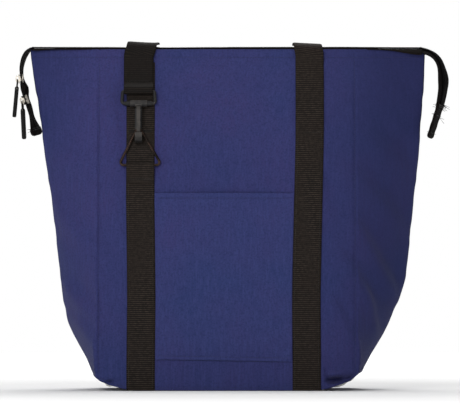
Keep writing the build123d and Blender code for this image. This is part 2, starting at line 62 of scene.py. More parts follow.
TOP = 464.0
HALF = 178.0
STRAP_L, STRAP_R = -117.8, 111.5
HOOK_X = STRAP_L - 2.5


def smooth_table(column, sigma):
    zs = np.arange(-60, 560, 1.0)
    v = np.interp(zs, LEVELS[:, 0], LEVELS[:, column])
    k = np.exp(-0.5 * (np.arange(-40, 41) / sigma) ** 2)
    k /= k.sum()
    ext = np.concatenate([2 * v[0] - v[40:0:-1], v, 2 * v[-1] - v[-2:-42:-1]])
    return zs, np.convolve(ext, k, "valid")


_dz, _dv = smooth_table(1, 7.0)
_lz, _lv = smooth_table(2, 5.0)
_rz, _rv = smooth_table(3, 5.0)


def depth(z):
    return np.interp(z, _dz, _dv)


def fold(z, sign):
    return np.interp(z, _lz, _lv) if sign < 0 else np.interp(z, _rz, _rv)


def base_z(x):
    x = np.asarray(x, float)
    return np.where(x < 0, np.interp(-x, BASE_L[:, 0], BASE_L[:, 1]), np.interp(x, BASE_R[:, 0], BASE_R[:, 1]))


# --------------------------------------------------------------------------- noise
def value_noise(x, y, cell, seed):
    """Smooth repeatable noise in -1..1."""
    r = np.random.RandomState(seed).rand(64, 64) * 2 - 1
    gx, gy = x / cell, y / cell
    ix, iy = np.floor(gx).astype(int), np.floor(gy).astype(int)
    fx, fy = gx - ix, gy - iy
    fx, fy = fx * fx * (3 - 2 * fx), fy * fy * (3 - 2 * fy)
    a = r[ix % 64, iy % 64]; b = r[(ix + 1) % 64, iy % 64]
    c = r[ix % 64, (iy + 1) % 64]; d = r[(ix + 1) % 64, (iy + 1) % 64]
    return (a * (1 - fx) + b * fx) * (1 - fy) + (c * (1 - fx) + d * fx) * fy


def step(a, b, v):
    t = np.clip((v - a) / (b - a), 0, 1)
    return t * t * (3 - 2 * t)


def crease(x, z, x0, z0, x1, z1, width, amp, sharp=1.0):
    """A soft fold along a line: a valley beside a ridge, fading at both ends."""
    dx, dz = x1 - x0, z1 - z0
    n = math.hypot(dx, dz)
    t = ((x - x0) * dx + (z - z0) * dz) / (n * n)
    s = (-(x - x0) * dz + (z - z0) * dx) / n
    along = step(-0.12, 0.2, t) * (1 - step(0.75, 1.12, t))
    s = s / width
    return amp * along * (np.exp(-0.5 * s * s) - 0.75 * np.exp(-0.5 * ((s - 1.5) / sharp) ** 2))


FRONT_CREASES = [
    (172, 232, 236, 118, 9, 2.6), (150, 190, 214, 96, 8, 1.9), (168, 300, 250, 210, 11, 1.8), (186, 350, 255, 290, 12, 1.5),
    (140, 128, 172, 60, 7, 1.8), (120, 300, 172, 236, 12, -1.4), (186, 140, 205, 70, 6, 2.0),
    (-236, 258, -186, 196, 10, 2.1), (-222, 150, -176, 92, 8, 2.0), (-242, 330, -184, 300, 12, 1.6), (-205, 100, -165, 50, 7, 1.8),
    (-172, 250, -146, 170, 9, -1.2), (-170, 420, -146, 330, 11, 1.2), (-60, 440, 20, 372, 16, 0.9), (40, 420, 88, 330, 14, -0.9),
    (-250, 430, -190, 400, 12, 1.3), (190, 440, 250, 402, 12, 1.5), (-90, 330, -40, 300, 14, 0.8),
]
BACK_CREASES = [
    (-178, 240, -236, 130, 9, 2.2), (-150, 180, -205, 100, 8, 1.8), (-190, 340, -250, 280, 12, 1.6), (182, 260, 236, 170, 10, 2.2),
    (160, 150, 214, 90, 8, 1.8), (190, 360, 250, 300, 12, 1.4), (-80, 200, 0, 120, 20, 1.4), (10, 330, 80, 250, 18, 1.2), (-60, 90, 40, 60, 16, 1.2),
    (120, 80, 168, 36, 8, 1.8), (-168, 40, -128, 84, 8, 1.8),
]


def wrinkle(x, z, side):
    """How far the cloth stands off the bag's plain form, mm outwards."""
    seed = 11 if side < 0 else 29
    w = 2.1 * value_noise(x + 500, z + 40, 95, seed) + 1.15 * value_noise(x + 500, z + 40, 41, seed + 1) + 0.28 * value_noise(x + 500, z + 40, 14, seed + 2)
    for c in (FRONT_CREASES if side < 0 else BACK_CREASES):
        w = w + 1.9 * crease(x, z, *c)
    # slack lower corners
    for cx, cz, rx, rz, amp in ((-172, 44, 26, 22, 1.8), (176, 50, 26, 26, 2.0)):
        w = w + amp * np.exp(-0.5 * (((x - cx) / rx) ** 2 + ((z - cz) / rz) ** 2))
    if side < 0:
        # crumple at the lower right corner, with its dark tuck, and a small one on the left
        tz = z - 15.0 - 0.10 * (x - 146)
        w = w - 15.0 * np.exp(-0.5 * (((x - 146.5) / 8.0) ** 2 + (tz / 2.6) ** 2))
        w = w + 7.5 * np.exp(-0.5 * (((x - 148) / 12.5) ** 2 + ((tz - 7.6) / 3.2) ** 2)) + 3.4 * np.exp(-0.5 * (((x - 143) / 10) ** 2 + ((tz + 7.0) / 2.8) ** 2))
        w = w - 7.0 * np.exp(-0.5 * (((x - 135.5 + (z - 20) * 0.30) / 2.1) ** 2 + ((z - 22) / 6.5) ** 2))
        w = w - 4.5 * np.exp(-0.5 * (((x - 161 - (z - 12) * 0.9) / 3.0) ** 2 + ((z - 17) / 4.0) ** 2))
        w = w + 2.2 * np.exp(-0.5 * (((x - 128) / 4.0) ** 2 + ((z - 24) / 9.0) ** 2))
        w = w - 6.0 * np.exp(-0.5 * (((x + 158) / 4.0) ** 2 + ((z - 12.5) / 1.7) ** 2)) + 1.6 * np.exp(-0.5 * (((x + 156) / 9) ** 2 + ((z - 18.5) / 3.0) ** 2))
    # puckers along the sewn seams and the hem
    seam = np.exp(-0.5 * ((np.abs(x) - HALF + 3) / 5.0) ** 2)
    w = w + seam * (0.42 * np.sin(z / 9.3 * 2 * PI + 2.0 * value_noise(x, z, 30, 5)) - 0.5)
    w = w - 1.25 * np.exp(-0.5 * ((np.abs(x) - HALF + 4.4) / 1.5) ** 2) * step(20, 30, z) + 0.9 * np.exp(-0.5 * ((np.abs(x) - HALF + 0.4) / 1.3) ** 2) * step(20, 30, z)
    hem = np.exp(-0.5 * ((z - 453) / 3.0) ** 2)
    w = w - 0.6 * np.exp(-0.5 * ((z - 453) / 1.3) ** 2) + hem * (0.36 * np.sin(x / 10.5 * 2 * PI + 2.5 * value_noise(x, z, 35, 6)) - 0.45) + 0.45 * step(453.5, 456, z)
    # calm under the straps, at the mouth and at the floor
    for cx in (STRAP_L - 1, STRAP_R):
        w = w * (1 - 0.9 * np.exp(-(((x - cx) / 23.0) ** 6)))
    w = w * (1 - 0.75 * step(380, 445, z))
    w = w * step(-6, 10, z)
    w = w - 0.25
    return np.clip(w, -12.0, 7.5)


def front_y(x, z, off=0.0, side=-1):
    """y of the front (or back) cloth at x, z, plus off outwards."""
    return side * (depth(z) + wrinkle(x, z, side) + off)


def wall_normal(z, side=-1):
    s = (depth(z + 2) - depth(z - 2)) / 4.0
    n = np.sqrt(1 + s * s)
    return side / n, -s / n        # (y, z) parts; s is negative up the wall, so z part is positive


# --------------------------------------------------------------------- mesh helpers
def new_object(name, verts, faces, uvs=None, smooth=True, mat=None, normals=None):
    me = bpy.data.meshes.new(name)
    me.from_pydata([tuple(v) for v in np.asarray(verts) * MM], [], [tuple(int(i) for i in f) for f in faces])
    if uvs is not None:
        layer = me.uv_layers.new(name="UVMap")
        loops = np.zeros(len(me.loops), dtype=np.int64)
        me.loops.foreach_get("vertex_index", loops)
        layer.data.foreach_set("uv", (np.asarray(uvs)[loops] * MM).astype(np.float32).ravel())
    me.validate()
    if smooth:
        me.polygons.foreach_set("use_smooth", [True] * len(me.polygons))
    me.update()
    if normals is not None and len(normals) == len(me.vertices):
        me.normals_split_custom_set_from_vertices([tuple(n) for n in normals])
    ob = bpy.data.objects.new(name, me)
    bpy.context.scene.collection.objects.link(ob)
    if mat is not None:
        me.materials.append(mat)
    return ob


def grid_normals(P):
    du = np.gradient(P, axis=1)
    dv = np.gradient(P, axis=0)
    n = np.cross(du, dv)
    l = np.linalg.norm(n, axis=2, keepdims=True)
    return n / np.maximum(l, 1e-9)


def slab(P, N, thickness, uv, flip=False, side=0):
    """A closed sheet: P[nv, nu] is its outer face, N its outward normals. Returns verts, faces, uvs, normals."""
    nv, nu = P.shape[:2]
    Q = P - N * thickness
    if side:
        Q[:, :, 1] = side * np.maximum(side * Q[:, :, 1], 0.03)
    V = np.concatenate([P.reshape(-1, 3), Q.reshape(-1, 3)])
    U = np.concatenate([uv.reshape(-1, 2), uv.reshape(-1, 2)])
    n = nv * nu
    idx = np.arange(n).reshape(nv, nu)
    a, b, c, d = idx[:-1, :-1], idx[:-1, 1:], idx[1:, 1:], idx[1:, :-1]
    outer = np.stack([a, b, c, d], -1).reshape(-1, 4)
    inner = np.stack([a, d, c, b], -1).reshape(-1, 4) + n
    rims = []
    for line, rev in ((idx[0, :], False), (idx[:, -1], False), (idx[-1, ::-1], False), (idx[::-1, 0], False)):
        rims.append(np.stack([line[:-1], line[:-1] + n, line[1:] + n, line[1:]], -1))
    F = np.concatenate([outer, inner] + rims)
    if flip:
        F = F[:, ::-1]
    NN = np.concatenate([N.reshape(-1, 3), -N.reshape(-1, 3)])
    return V, F, U, NN


def ribbon(centre, across, normal, width, thick, pitch=2.72, rib=0.34, ribs=True, edge=0.9, nu=19, uv0=0.0, cols=4.0):
    """A webbing ribbon as one closed solid. centre, across, normal: arrays [n, 3]; rows are evenly spaced."""
    c = np.asarray(centre, float); w = np.asarray(across, float); nn = np.asarray(normal, float)
    n = len(c)
    s = np.concatenate([[0], np.cumsum(np.linalg.norm(np.diff(c, axis=0), axis=1))])
    t = np.linspace(-1, 1, nu)
    half = width / 2
    round_off = np.sqrt(np.clip(1 - np.clip((np.abs(t) - (1 - edge / half)) / (edge / half), 0, 1) ** 2, 0.06, 1))
    h = thick / 2
    wave = (0.5 + 0.5 * np.cos(s / pitch * 2 * PI))[:, None]
    col = 0.75 + 0.25 * np.cos(t * half / cols * 2 * PI)[None, :]
    phase = 0.5 + 0.5 * np.cos(s[:, None] / pitch * 2 * PI + PI * (np.floor((t[None, :] * half + 100) / (cols / 2)) % 2))
    lift = rib * (0.72 * wave * col + 0.28 * phase) if ribs else np.zeros((n, nu))
    top = (h - rib * 0.5 + lift) * round_off[None, :]
    low = -(h - rib * 0.5 + (rib - lift)) * round_off[None, :]
    x = (t * half)[None, :, None] * w[:, None, :]
    T = c[:, None, :] + x + top[:, :, None] * nn[:, None, :]
    B = c[:, None, :] + x + low[:, :, None] * nn[:, None, :]
    ring = np.concatenate([T, B[:, ::-1]], axis=1)      # [n, 2nu]
    m = 2 * nu
    V = ring.reshape(-1, 3)
    uu = np.concatenate([t * half, t[::-1] * half + width * 1.3])
    U = np.stack([np.broadcast_to(uu, (n, m)), np.broadcast_to((s + uv0)[:, None], (n, m))], -1).reshape(-1, 2)
    idx = np.arange(n * m).reshape(n, m)
    nxt = np.roll(idx, -1, axis=1)
    F = np.stack([idx[:-1], nxt[:-1], nxt[1:], idx[1:]], -1).reshape(-1, 4)
    F = [tuple(f) for f in F]
    for row, rev in ((idx[0], True), (idx[-1], False)):
        for k in range(nu - 1):
            q = (row[k], row[k + 1], row[m - 2 - k], row[m - 1 - k])
            F.append(q[::-1] if rev else q)
    # orientation: ring runs across on the top face; web_object recalculates the face normals
    return V, F, U


def resample(points, spacing, extra=None):
    """Smooth line through points (Catmull-Rom), evenly spaced; extra rows are carried along."""
    P = np.asarray(points, float)
    E = None if extra is None else np.asarray(extra, float)
    out, oe = [], []
    n = len(P)
    for i in range(n - 1):
        p0, p1, p2, p3 = P[max(i - 1, 0)], P[i], P[i + 1], P[min(i + 2, n - 1)]
        if i == 0: p0 = 2 * p1 - p2
        if i == n - 2: p3 = 2 * p2 - p1
        t = np.linspace(0, 1, 24, endpoint=False)[:, None]
        out.append(0.5 * ((2 * p1) + (-p0 + p2) * t + (2 * p0 - 5 * p1 + 4 * p2 - p3) * t ** 2 + (-p0 + 3 * p1 - 3 * p2 + p3) * t ** 3))
        if E is not None:
            e0, e1, e2, e3 = E[max(i - 1, 0)], E[i], E[i + 1], E[min(i + 2, n - 1)]
            oe.append(0.5 * ((2 * e1) + (-e0 + e2) * t + (2 * e0 - 5 * e1 + 4 * e2 - e3) * t ** 2 + (-e0 + 3 * e1 - 3 * e2 + e3) * t ** 3))
    out.append(P[-1:])
    D = np.concatenate(out)
    s = np.concatenate([[0], np.cumsum(np.linalg.norm(np.diff(D, axis=0), axis=1))])
    k = max(3, int(round(s[-1] / spacing)) + 1)
    q = np.linspace(0, s[-1], k)
    R = np.stack([np.interp(q, s, D[:, j]) for j in range(3)], 1)
    if E is None:
        return R
    oe.append(E[-1:])
    DE = np.concatenate(oe)
    return R, np.stack([np.interp(q, s, DE[:, j]) for j in range(DE.shape[1])], 1)


def unit(v):
    return v / np.maximum(np.linalg.norm(v, axis=-1, keepdims=True), 1e-9)


def frames_for(line, across):
    """Tangent-true width and normal for a line and a rough width direction."""
    t = unit(np.gradient(line, axis=0))
    w = across - t * np.sum(across * t, axis=1, keepdims=True)
    w = unit(w)
    return w, unit(np.cross(t, w))


def tube(points, radius, sides=8, closed=False, caps=True):
    P = np.asarray(points, float)
    n = len(P)
    r = np.broadcast_to(np.asarray(radius, float), (n,))
    if closed:
        t = unit(np.roll(P, -1, 0) - np.roll(P, 1, 0))
    else:
        t = unit(np.gradient(P, axis=0))
    u = np.zeros_like(P)
    ref = np.array([0, 0, 1.0]) if abs(t[0][2]) < 0.9 else np.array([1.0, 0, 0])
    u[0] = unit(np.cross(t[0], ref))
    for i in range(1, n):
        v = u[i - 1] - t[i] * np.dot(u[i - 1], t[i])
        u[i] = v / max(np.linalg.norm(v), 1e-9)
    v = np.cross(t, u)
    a = np.linspace(0, 2 * PI, sides, endpoint=False)
    ring = P[:, None, :] + r[:, None, None] * (np.cos(a)[None, :, None] * u[:, None, :] + np.sin(a)[None, :, None] * v[:, None, :])
    V = ring.reshape(-1, 3)
    idx = np.arange(n * sides).reshape(n, sides)
    nxt = np.roll(idx, -1, axis=1)
    F = [tuple(f) for f in np.stack([idx[:-1], nxt[:-1], nxt[1:], idx[1:]], -1).reshape(-1, 4)]
    if closed:
        F += [tuple(f) for f in np.stack([idx[-1], nxt[-1], nxt[0], idx[0]], -1).reshape(-1, 4)]
    elif caps:
        F.append(tuple(idx[0][::-1])); F.append(tuple(idx[-1]))
    return V, F


class Bag:
    """Collects parts of one mesh."""
    def __init__(self):
        self.v, self.f, self.u, self.n = [], [], [], 0

    def add(self, V, F, U=None):
        V = np.asarray(V, float)
        self.v.append(V)
        self.f += [tuple(int(i) + self.n for i in f) for f in F]
        self.u.append(np.zeros((len(V), 2)) if U is None else np.asarray(U, float))
        self.n += len(V)

    def build(self, name, mat, smooth=True):
        return new_object(name, np.concatenate(self.v), self.f, np.concatenate(self.u), smooth, mat)


def stitch_run(bag, line, normal, pitch=3.2, length=2.3, r=0.30, sink=0.12):
    """Sewn thread along a line lying on the cloth: short raised capsules that dive at both ends."""
    line = np.asarray(line, float)
    s = np.concatenate([[0], np.cumsum(np.linalg.norm(np.diff(line, axis=0), axis=1))])
    normal = np.asarray(normal, float)
    k = int(s[-1] / pitch)
    prof = np.array([0.0, 0.16, 0.5, 0.84, 1.0])
    lift = np.array([-0.75, 0.35, 0.6, 0.35, -0.75])
    rad = np.array([0.35, 0.95, 1.0, 0.95, 0.35])
    for i in range(k):
        q = (i + 0.5) * pitch - length / 2 + prof * length
        p = np.stack([np.interp(q, s, line[:, j]) for j in range(3)], 1)
        nn = unit(np.stack([np.interp(q, s, normal[:, j]) for j in range(3)], 1))
        V, F = tube(p + nn * (r * lift - sink * 0)[:, None], r * rad, 6)
        bag.add(V, F)


# ------------------------------------------------------------------------ materials
def srgb(r, g, b):
    f = lambda c: (c / 255 / 12.92) if c / 255 <= 0.04045 else ((c / 255 + 0.055) / 1.055) ** 2.4
    return (f(r), f(g), f(b), 1)


class Mat:
    def __init__(self, name, rough=0.8, sheen=0.0, sheen_rough=0.5, metallic=0.0, spec=0.5, coat=0.0, ior=1.45):
        self.m = bpy.data.materials.new(name)
        self.m.use_nodes = True
        self.nt = self.m.node_tree
        self.nt.nodes.clear()
        self.out = self.nt.nodes.new("ShaderNodeOutputMaterial")
        self.p = self.nt.nodes.new("ShaderNodeBsdfPrincipled")
        self.nt.links.new(self.p.outputs[0], self.out.inputs[0])
        self.p.inputs["Roughness"].default_value = rough
        self.p.inputs["Sheen Weight"].default_value = sheen
        self.p.inputs["Sheen Roughness"].default_value = sheen_rough
        self.p.inputs["Metallic"].default_value = metallic
        self.p.inputs["Specular IOR Level"].default_value = spec
        self.p.inputs["Coat Weight"].default_value = coat
        self.p.inputs["IOR"].default_value = ior
        self.uv = self.nt.nodes.new("ShaderNodeTexCoord")

    def node(self, kind, **kw):
        n = self.nt.nodes.new(kind)
        for k, v in kw.items():
            if k in n.inputs:
                n.inputs[k].default_value = v
            else:
                setattr(n, k, v)
        return n

    def link(self, a, b):
        self.nt.links.new(a, b)

    def noise(self, scale, detail=3.0, rough=0.55, coord="Object"):
        n = self.node("ShaderNodeTexNoise")
        n.inputs["Scale"].default_value = scale
        n.inputs["Detail"].default_value = detail
        n.inputs["Roughness"].default_value = rough
        self.link(self.uv.outputs[coord], n.inputs["Vector"])
        return n.outputs["Fac"]

    def wave(self, scale, axis, coord="UV", distort=0.0, profile="SIN"):
        n = self.node("ShaderNodeTexWave", wave_type="BANDS", bands_direction=axis, wave_profile=profile)
        n.inputs["Scale"].default_value = scale
        n.inputs["Distortion"].default_value = distort
        n.inputs["Detail"].default_value = 1.0
        self.link(self.uv.outputs[coord], n.inputs["Vector"])
        return n.outputs["Fac"]

    def ramp(self, fac, stops):
        n = self.node("ShaderNodeValToRGB")
        while len(n.color_ramp.elements) > 2:
            n.color_ramp.elements.remove(n.color_ramp.elements[-1])
        for i, (pos, col) in enumerate(stops):
            e = n.color_ramp.elements[i] if i < 2 else n.color_ramp.elements.new(pos)
            e.position = pos
            e.color = col
        self.link(fac, n.inputs["Fac"])
        return n.outputs["Color"]

    def mix(self, fac, a, b, mode="MIX"):
        n = self.node("ShaderNodeMix", data_type="RGBA", blend_type=mode)
        if isinstance(fac, float): n.inputs[0].default_value = fac
        else: self.link(fac, n.inputs[0])
        for sock, v in ((n.inputs[6], a), (n.inputs[7], b)):
            if isinstance(v, tuple): sock.default_value = v
            else: self.link(v, sock)
        return n.outputs[2]

    def math(self, op, a, b=None):
        n = self.node("ShaderNodeMath", operation=op)
        for sock, v in ((n.inputs[0], a), (n.inputs[1], b)):
            if v is None: continue
            if isinstance(v, (int, float)): sock.default_value = v
            else: self.link(v, sock)
        return n.outputs[0]

    def rng(self, fac, lo, hi, a=0.0, b=1.0):
        n = self.node("ShaderNodeMapRange")
        self.link(fac, n.inputs["Value"])
        n.inputs["From Min"].default_value = a; n.inputs["From Max"].default_value = b
        n.inputs["To Min"].default_value = lo; n.inputs["To Max"].default_value = hi
        return n.outputs["Result"]

    def bump(self, height, strength, distance, prev=None):
        n = self.node("ShaderNodeBump")
        n.inputs["Strength"].default_value = strength
        n.inputs["Distance"].default_value = distance
        self.link(height, n.inputs["Height"])
        if prev is not None:
            self.link(prev, n.inputs["Normal"])
        return n.outputs["Normal"]

    def finish(self, color, rough=None, normal=None):
        if isinstance(color, tuple): self.p.inputs["Base Color"].default_value = color
        else: self.link(color, self.p.inputs["Base Color"])
        if rough is not None: self.link(rough, self.p.inputs["Roughness"])
        if normal is not None: self.link(normal, self.p.inputs["Normal"])
        return self.m


def woven(name, dark, light, tint, pitch=0.55, sheen=0.05, rough=0.85, strength=0.35, painted_side_shade=False):
    """Plain weave: threads both ways, uneven dye, and a little fluff."""
    m = Mat(name, rough=rough, sheen=sheen, sheen_rough=0.45, spec=0.12)
    k = 0.314159 / (pitch * MM)
    wx, wy = m.wave(k, "X", distort=0.5), m.wave(k, "Y", distort=0.5)
    weave = m.math("MAXIMUM", m.math("MULTIPLY", wx, wx), m.math("MULTIPLY", wy, wy))
    blotch = m.noise(9.0, 3.0, 0.55)
    fine = m.noise(420.0, 2.0, 0.6)
    slub = m.noise(900.0, 2.0, 0.6)
    mp = m.node("ShaderNodeMapping"); mp.inputs["Scale"].default_value = (420.0, 420.0, 26.0)
    m.link(m.uv.outputs["Object"], mp.inputs["Vector"])
    st = m.node("ShaderNodeTexNoise"); st.inputs["Scale"].default_value = 1.0; st.inputs["Detail"].default_value = 2.0
    m.link(mp.outputs[0], st.inputs["Vector"])
    streak = st.outputs["Fac"]
    broad = m.noise(3.4, 2.0, 0.5)
    base = m.mix(m.rng(blotch, 0.0, 1.0, 0.34, 0.66), dark, tint)
    base = m.mix(m.rng(broad, 0.0, 0.35, 0.52, 0.66), base, (dark[0] * 0.7, dark[1] * 0.74, dark[2] * 0.76, 1))
    base = m.mix(m.rng(weave, 0.0, 0.35, 0.1, 0.95), base, light)
    base = m.mix(m.rng(streak, 0.0, 0.75, 0.40, 0.72), base, light)
    base = m.mix(m.rng(fine, 0.0, 0.55, 0.46, 0.72), base, (dark[0] * 0.62, dark[1] * 0.62, dark[2] * 0.66, 1))
    if painted_side_shade:
        # painted shade: the cloth is darkened towards the gussets, more so on the right, standing in for the key light
        # falling off from left to right
        xyz = m.node("ShaderNodeSeparateXYZ"); m.link(m.uv.outputs["Object"], xyz.inputs[0])
        side_shade_color = (dark[0] * 0.5, dark[1] * 0.45, dark[2] * 0.48, 1)
        base = m.mix(m.rng(xyz.outputs["X"], 0.0, 0.56, 0.105, 0.215), base, side_shade_color)
        base = m.mix(m.rng(xyz.outputs["X"], 0.20, 0.0, -0.24, -0.18), base, side_shade_color)
    r = m.rng(slub, rough - 0.08, rough + 0.1)
    n1 = m.bump(weave, strength, 0.0002)
    n2 = m.bump(fine, 0.18, 0.0005, n1)
    return m.finish(base, r, n2)


M = {}
# the shell's gussets carry painted shade, deeper on the right
M["shell"] = woven("navy_polyester", srgb(44, 53, 99), srgb(57, 62, 112), srgb(57, 53, 100), painted_side_shade=True)
M["pocket"] = woven("navy_polyester_pocket", srgb(45, 56, 103), srgb(58, 65, 115), srgb(57, 55, 103))
M["shell_in"] = woven("navy_polyester_inside", srgb(38, 42, 78), srgb(48, 52, 90), srgb(45, 44, 80))


def webbing_mat(name, base, light, brown):
    m = Mat(name, rough=0.72, sheen=0.03, sheen_rough=0.4, spec=0.12)
    kx = 1.0 / (1.0 * MM) / 20.0 * PI
    wx = m.wave(kx * 2, "X", distort=0.3)
    wy = m.wave(0.314159 / (2.72 * MM), "Y", distort=0.25)
    fibre = m.noise(700.0, 3.0, 0.65)
    patch = m.noise(22.0, 2.0, 0.5)
    streak = m.noise(260.0, 3.0, 0.7)
    # painted highlight and shade: along the rib wave the colour runs from the base colour in the grooves to the light
    # colour on the crowns
    col = m.mix(m.math("MULTIPLY", m.rng(wy, 0.0, 1.0, 0.25, 0.95), m.rng(streak, 0.35, 1.0, 0.38, 0.62)), base, light)
    col = m.mix(m.rng(patch, 0.0, 0.4, 0.4, 0.7), col, brown)
    col = m.mix(m.rng(fibre, 0.0, 0.4, 0.45, 0.8), col, base)
    n1 = m.bump(m.math("ADD", wx, m.math("MULTIPLY", fibre, 0.6)), 0.35, 0.0002)
    return m.finish(col, m.rng(fibre, 0.5, 0.75), n1)


# the second colour is the painted highlight on the rib crowns
M["webbing"] = webbing_mat("black_webbing", srgb(15, 12, 10), srgb(62, 53, 47), srgb(34, 27, 23))
# painted shade: a darker copy of the webbing for the hook end, standing in for the hook's shadow on it
M["webbing_fold"] = webbing_mat("black_webbing_painted_shade", srgb(11, 9, 8), srgb(38, 32, 28), srgb(24, 19, 17))


def thread(name, c0, c1):
    m = Mat(name, rough=0.6, sheen=0.1, spec=0.4)
    f = m.noise(1500.0, 2.0, 0.6)
    return m.finish(m.mix(m.rng(f, 0, 1, 0.35, 0.65), c0, c1), m.rng(f, 0.5, 0.72), m.bump(f, 0.3, 0.0001))


M["thread_navy"] = thread("navy_thread", srgb(24, 28, 62), srgb(38, 42, 82))
M["thread_black"] = thread("black_thread", srgb(8, 7, 7), srgb(20, 17, 16))


def tape_mat():
    m = Mat("zipper_tape_black", rough=0.9, sheen=0.0, spec=0.04)
    wx = m.wave(1.0 / (0.9 * MM) / 20.0 * PI * 2, "X"); f = m.noise(800.0, 3.0, 0.6)
    col = m.mix(m.rng(wx, 0, 1, 0.2, 0.9), srgb(9, 8, 8), srgb(26, 22, 21))
    return m.finish(col, m.rng(f, 0.68, 0.88), m.bump(m.math("ADD", wx, f), 0.4, 0.0002))


M["tape"] = tape_mat()


def plastic(name, c0, c1, rough=0.42, grain=420.0, strength=0.12, edge_wear_and_glint=None, painted_shade_below=None, spec=0.35):
    m = Mat(name, rough=rough, spec=spec)
    f = m.noise(grain, 3.0, 0.6); big = m.noise(60.0, 3.0, 0.6)
    col = m.mix(m.rng(big, 0, 1, 0.35, 0.7), c0, c1)
    if edge_wear_and_glint is not None:
        geo = m.node("ShaderNodeNewGeometry")
        edge = m.rng(geo.outputs["Pointiness"], 0, 1, 0.515, 0.56)
        col = m.mix(m.math("MULTIPLY", edge, m.rng(big, 0.2, 1.0, 0.35, 0.6)), col, edge_wear_and_glint)
    if painted_shade_below is not None:
        # painted shade: below this height the colour runs to near-black, standing in for the shadow on the hook's lower
        # end
        sep = m.node("ShaderNodeSeparateXYZ")
        m.link(m.uv.outputs["Object"], sep.inputs[0])
        col = m.mix(m.rng(sep.outputs["Z"], 0.92, 0.0, painted_shade_below - 0.018, painted_shade_below), col, srgb(10, 9, 9))
    return m.finish(col, m.rng(f, rough - 0.08, rough + 0.14), m.bump(f, strength, 0.0002))


# the clip's lower end carries painted shade below 0.352 m
M["clip"] = plastic("clip_acetal", srgb(20, 20, 22), srgb(30, 29, 29), 0.5, edge_wear_and_glint=srgb(62, 58, 55), painted_shade_below=0.352)
M["coil"] = plastic("nylon_coil", srgb(7, 6, 6), srgb(14, 12, 12), 0.75, spec=0.08)
M["pull"] = plastic("pull_rubber", srgb(8, 7, 7), srgb(17, 14, 13), 0.6, edge_wear_and_glint=srgb(40, 33, 30), spec=0.2)


def metal(name, c0, c1, rough, edge_wear_and_glint):
    m = Mat(name, rough=rough, metallic=0.85, spec=0.5)
    f = m.noise(300.0, 4.0, 0.65); big = m.noise(90.0, 3.0, 0.6)
    geo = m.node("ShaderNodeNewGeometry")
    edge = m.rng(geo.outputs["Pointiness"], 0, 1, 0.51, 0.57)
    col = m.mix(m.rng(big, 0, 1, 0.4, 0.65), c0, c1)
    # painted highlight: the last colour, mixed in on convex edges, stands in for glints
    col = m.mix(m.math("MULTIPLY", edge, m.rng(f, 0.4, 1.0, 0.4, 0.6)), col, edge_wear_and_glint)
    return m.finish(col, m.rng(f, rough - 0.1, rough + 0.15), m.bump(f, 0.15, 0.0001))


# the ring's bronze and the slider's near-white edge colours are painted highlights
M["ring"] = metal("ring_black_wire", srgb(24, 20, 18), srgb(60, 46, 39), 0.42, srgb(112, 90, 78))
M["slider"] = metal("slider_dark_plate", srgb(14, 13, 13), srgb(32, 29, 28), 0.42, srgb(226, 218, 204))


def foil():
    m = Mat("silver_lining", rough=0.34, metallic=0.75, spec=0.5)
    f = m.noise(45.0, 5.0, 0.65); g = m.noise(320.0, 3.0, 0.6)
    col = m.mix(m.rng(f, 0, 1, 0.35, 0.65), srgb(176, 180, 184), srgb(206, 210, 213))
    n1 = m.bump(f, 0.5, 0.002); n2 = m.bump(g, 0.2, 0.0004, n1)
    return m.finish(col, m.rng(g, 0.26, 0.5), n2)


M["foil"] = foil()


def foam():
    m = Mat("white_foam", rough=0.9, spec=0.3)
    v = m.node("ShaderNodeTexVoronoi"); v.inputs["Scale"].default_value = 900.0
    m.link(m.uv.outputs["Object"], v.inputs["Vector"])
    col = m.mix(m.rng(v.outputs["Distance"], 0, 1, 0, 0.6), srgb(206, 206, 202), srgb(232, 232, 228))
    return m.finish(col, m.rng(v.outputs["Distance"], 0.8, 0.95), m.bump(v.outputs["Distance"], 0.4, 0.0004))


M["foam"] = foam()
M["board"] = BOARD = plastic("base_board_black", srgb(30, 30, 31), srgb(44, 44, 45), 0.55, 260.0, 0.3)

# -------------------------------------------------------------------- the cloth shell
PANEL_X = np.concatenate([np.linspace(-178, -166, 13), np.linspace(-166, -126, 18)[1:], np.linspace(-126, 116, 78)[1:], np.linspace(116, 166, 32)[1:], np.linspace(166, 178, 13)[1:]])
NG, NP = 30, len(PANEL_X) - 1          # columns in half a gusset, and across a panel
NZ = 176


